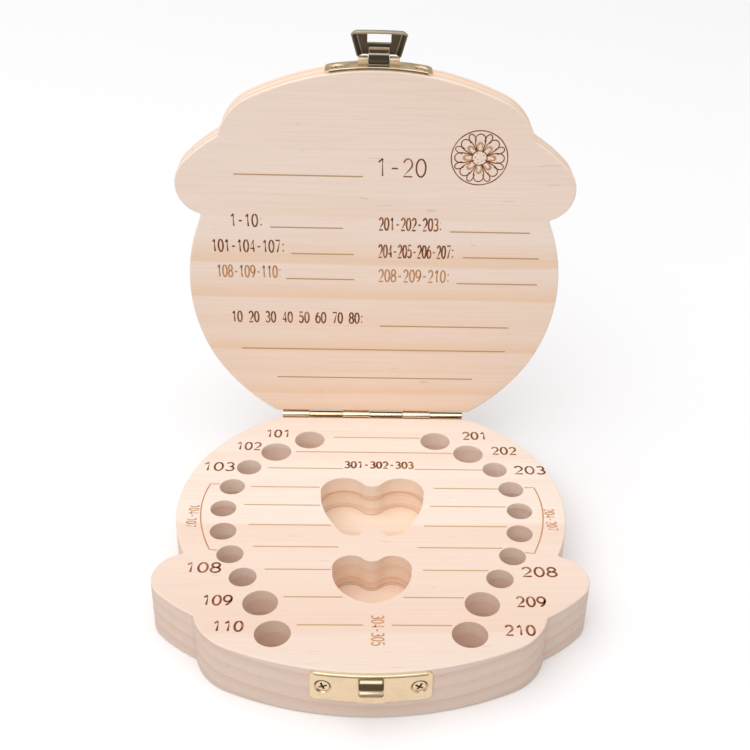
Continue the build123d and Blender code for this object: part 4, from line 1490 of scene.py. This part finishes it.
def drawn_corner(side_out, side_down, lip_out, lip_down):
    """The corner where a side flange meets an end lip, as a grid of places out, down and along.

    A place's bearing round the corner is the share of its row against its column, and its ring is the
    larger of the two: each ring runs from the flange's section to the lip's as a rounded square does.
    """
    column = np.linspace(1, 0, len(side_out))[None]
    row = np.linspace(0, 1, len(lip_out) + 1)[1:, None]
    ring = np.maximum(column, row)
    below, above = row / np.maximum(column, 1e-9), 2 - column / row
    bearing = np.pi / 4 * np.where(column >= row, below, above)
    from_edge, from_flat = np.linspace(0, 1, len(side_out)), np.linspace(0, 1, len(lip_out) + 1)
    side_reach, side_depth = (np.interp(ring, from_edge, values[::-1]) for values in (side_out, side_down))
    lip_sides = (np.insert(values, 0, 0) for values in (lip_out, lip_down))
    lip_reach, lip_depth = (np.interp(ring, from_flat, values) for values in lip_sides)
    across, along = np.cos(bearing), np.sin(bearing)
    depth = side_depth * across**2 + lip_depth * along**2
    return np.stack((side_reach * across**0.6, depth, -lip_reach * along**0.6), -1)


class TOOTHBOX_OT_stage(bpy.types.Operator):
    """Lay the floor and set the camera and the soft lights"""

    bl_idname = "toothbox.stage"
    bl_label = "Stage"

    def execute(self, context):
        stage = settings(context, "stage")
        context.scene.view_settings.view_transform = "Standard"
        self.camera(context, stage)
        self.floor(context, stage)
        self.world(context, stage)
        self.lamp(context, "top_light", (-0.8, -0.6, 3.3), (0, 0, 0), 5.0, stage.top_power)
        self.lamp(context, "front_light", (-0.4, -1.0, 0.9), (0, 0.05, 0.08), 1.0, stage.front_power)
        self.flag(context, stage, "front_flag", -1.3, 0.02, 1.05)
        self.flag(context, stage, "rear_flag", 1.3, 0.22, 1.1)
        return {"FINISHED"}

    @staticmethod
    def camera(context, stage):
        """The camera looks along its yaw and pitch, and tips by its roll."""
        forward = Vector((np.sin(stage.yaw), np.cos(stage.yaw), 0))
        level = Vector((forward.y, -forward.x, 0))
        ahead = forward * np.cos(stage.pitch) - Vector((0, 0, np.sin(stage.pitch)))
        upright = level.cross(ahead)
        right = level * np.cos(stage.roll) + upright * np.sin(stage.roll)
        up = upright * np.cos(stage.roll) - level * np.sin(stage.roll)
        data = bpy.data.cameras.new("camera")
        data.lens, data.sensor_width = stage.lens, 36
        data.shift_x, data.shift_y = stage.shift_x, stage.shift_y
        data.clip_start, data.clip_end = 0.01, 20
        camera = bpy.data.objects.new("camera", data)
        camera.matrix_world = Matrix.Translation(stage.eye) @ Matrix((right, up, -ahead)).transposed().to_4x4()
        context.scene.collection.objects.link(camera)
        context.scene.camera = camera

    @staticmethod
    def card(context, name, corners):
        """A flat card of the stage with its node tree and its shader."""
        mesh = bpy.data.meshes.new(name)
        mesh.from_pydata(corners, [], [(0, 1, 2, 3)])
        material, tree, shader = new_material(name)
        mesh.materials.append(material)
        made = bpy.data.objects.new(name, mesh)
        context.scene.collection.objects.link(made)
        return made, tree, shader

    def floor(self, context, stage):
        """A flat pale floor under the box."""
        half = stage.floor_w / 2
        corners = [(-half, -half, 0), (half, -half, 0), (half, half, 0), (-half, half, 0)]
        _, tree, shader = self.card(context, "floor", corners)
        bounced = [value * stage.floor_bounce for value in stage.floor]
        tone = blend_colours(tree, seen_ray(tree), bounced, stage.floor)
        fill(tree, shader, {"Base Color": tone, "Roughness": 0.9, "Specular IOR Level": 0.1})

    @staticmethod
    def world(context, stage):
        """White where the camera or a gloss sees it, and a plain level of light for the rest."""
        world = bpy.data.worlds.new("world")
        world.use_nodes = True
        tree = world.node_tree
        strength = plus(tree, times(tree, seen_ray(tree), 1 - stage.ambient), stage.ambient)
        fill(tree, tree.nodes["Background"], {"Color": (1, 1, 1, 1), "Strength": strength})
        context.scene.world = world

    def flag(self, context, stage, name, y, low, high):
        """An upright dark card that only a mirror sees, as a studio hangs to give metal its dark bands."""
        half = stage.flag_w / 2
        corners = [(-half, y, low), (half, y, low), (half, y, high), (-half, y, high)]
        made, tree, shader = self.card(context, name, corners)
        fill(tree, shader, {"Base Color": (*stage.flag, 1), "Roughness": 0.9})
        made.visible_camera = made.visible_diffuse = made.visible_transmission = made.visible_shadow = False

    @staticmethod
    def lamp(context, name, place_m, target, side, power):
        """A soft square light that faces a target."""
        data = bpy.data.lights.new(name, "AREA")
        data.shape, data.size, data.energy = "SQUARE", side, power
        lamp = bpy.data.objects.new(name, data)
        lamp.location = place_m
        lamp.rotation_euler = (Vector(target) - Vector(place_m)).to_track_quat("-Z", "Y").to_euler()
        context.scene.collection.objects.link(lamp)


OPERATORS = (
    TOOTHBOX_OT_stage,
    TOOTHBOX_OT_boards,
    TOOTHBOX_OT_block_engraving,
    TOOTHBOX_OT_lid_engraving,
    TOOTHBOX_OT_plates,
    TOOTHBOX_OT_screws,
    TOOTHBOX_OT_hinge,
    TOOTHBOX_OT_lever,
)


class TOOTHBOX_PT_panel(bpy.types.Panel):
    """The pieces of the box, in the order that they are made"""

    bl_label = "Tooth Box"
    bl_idname = "TOOTHBOX_PT_panel"
    bl_space_type = "VIEW_3D"
    bl_region_type = "UI"
    bl_category = "Tooth Box"

    def draw(self, context):
        for operator in OPERATORS:
            self.layout.operator(operator.bl_idname)


def register():
    """Register the settings, the operators and the panel."""
    for name, kind in SETTINGS.items():
        bpy.utils.register_class(kind)
        setattr(bpy.types.Scene, name, bpy.props.PointerProperty(type=kind))
    for kind in (*OPERATORS, TOOTHBOX_PT_panel):
        bpy.utils.register_class(kind)


def unregister():
    """Take back what register has done."""
    for kind in (TOOTHBOX_PT_panel, *OPERATORS[::-1]):
        bpy.utils.unregister_class(kind)
    for name, kind in SETTINGS.items():
        delattr(bpy.types.Scene, name)
        bpy.utils.unregister_class(kind)


def main():
    """Make every piece."""
    register()
    bpy.ops.toothbox.stage()
    bpy.ops.toothbox.boards()
    bpy.ops.toothbox.block_engraving()
    bpy.ops.toothbox.lid_engraving()
    bpy.ops.toothbox.plates()
    bpy.ops.toothbox.screws()
    bpy.ops.toothbox.hinge()
    bpy.ops.toothbox.lever()


if __name__ == "__main__":
    main()
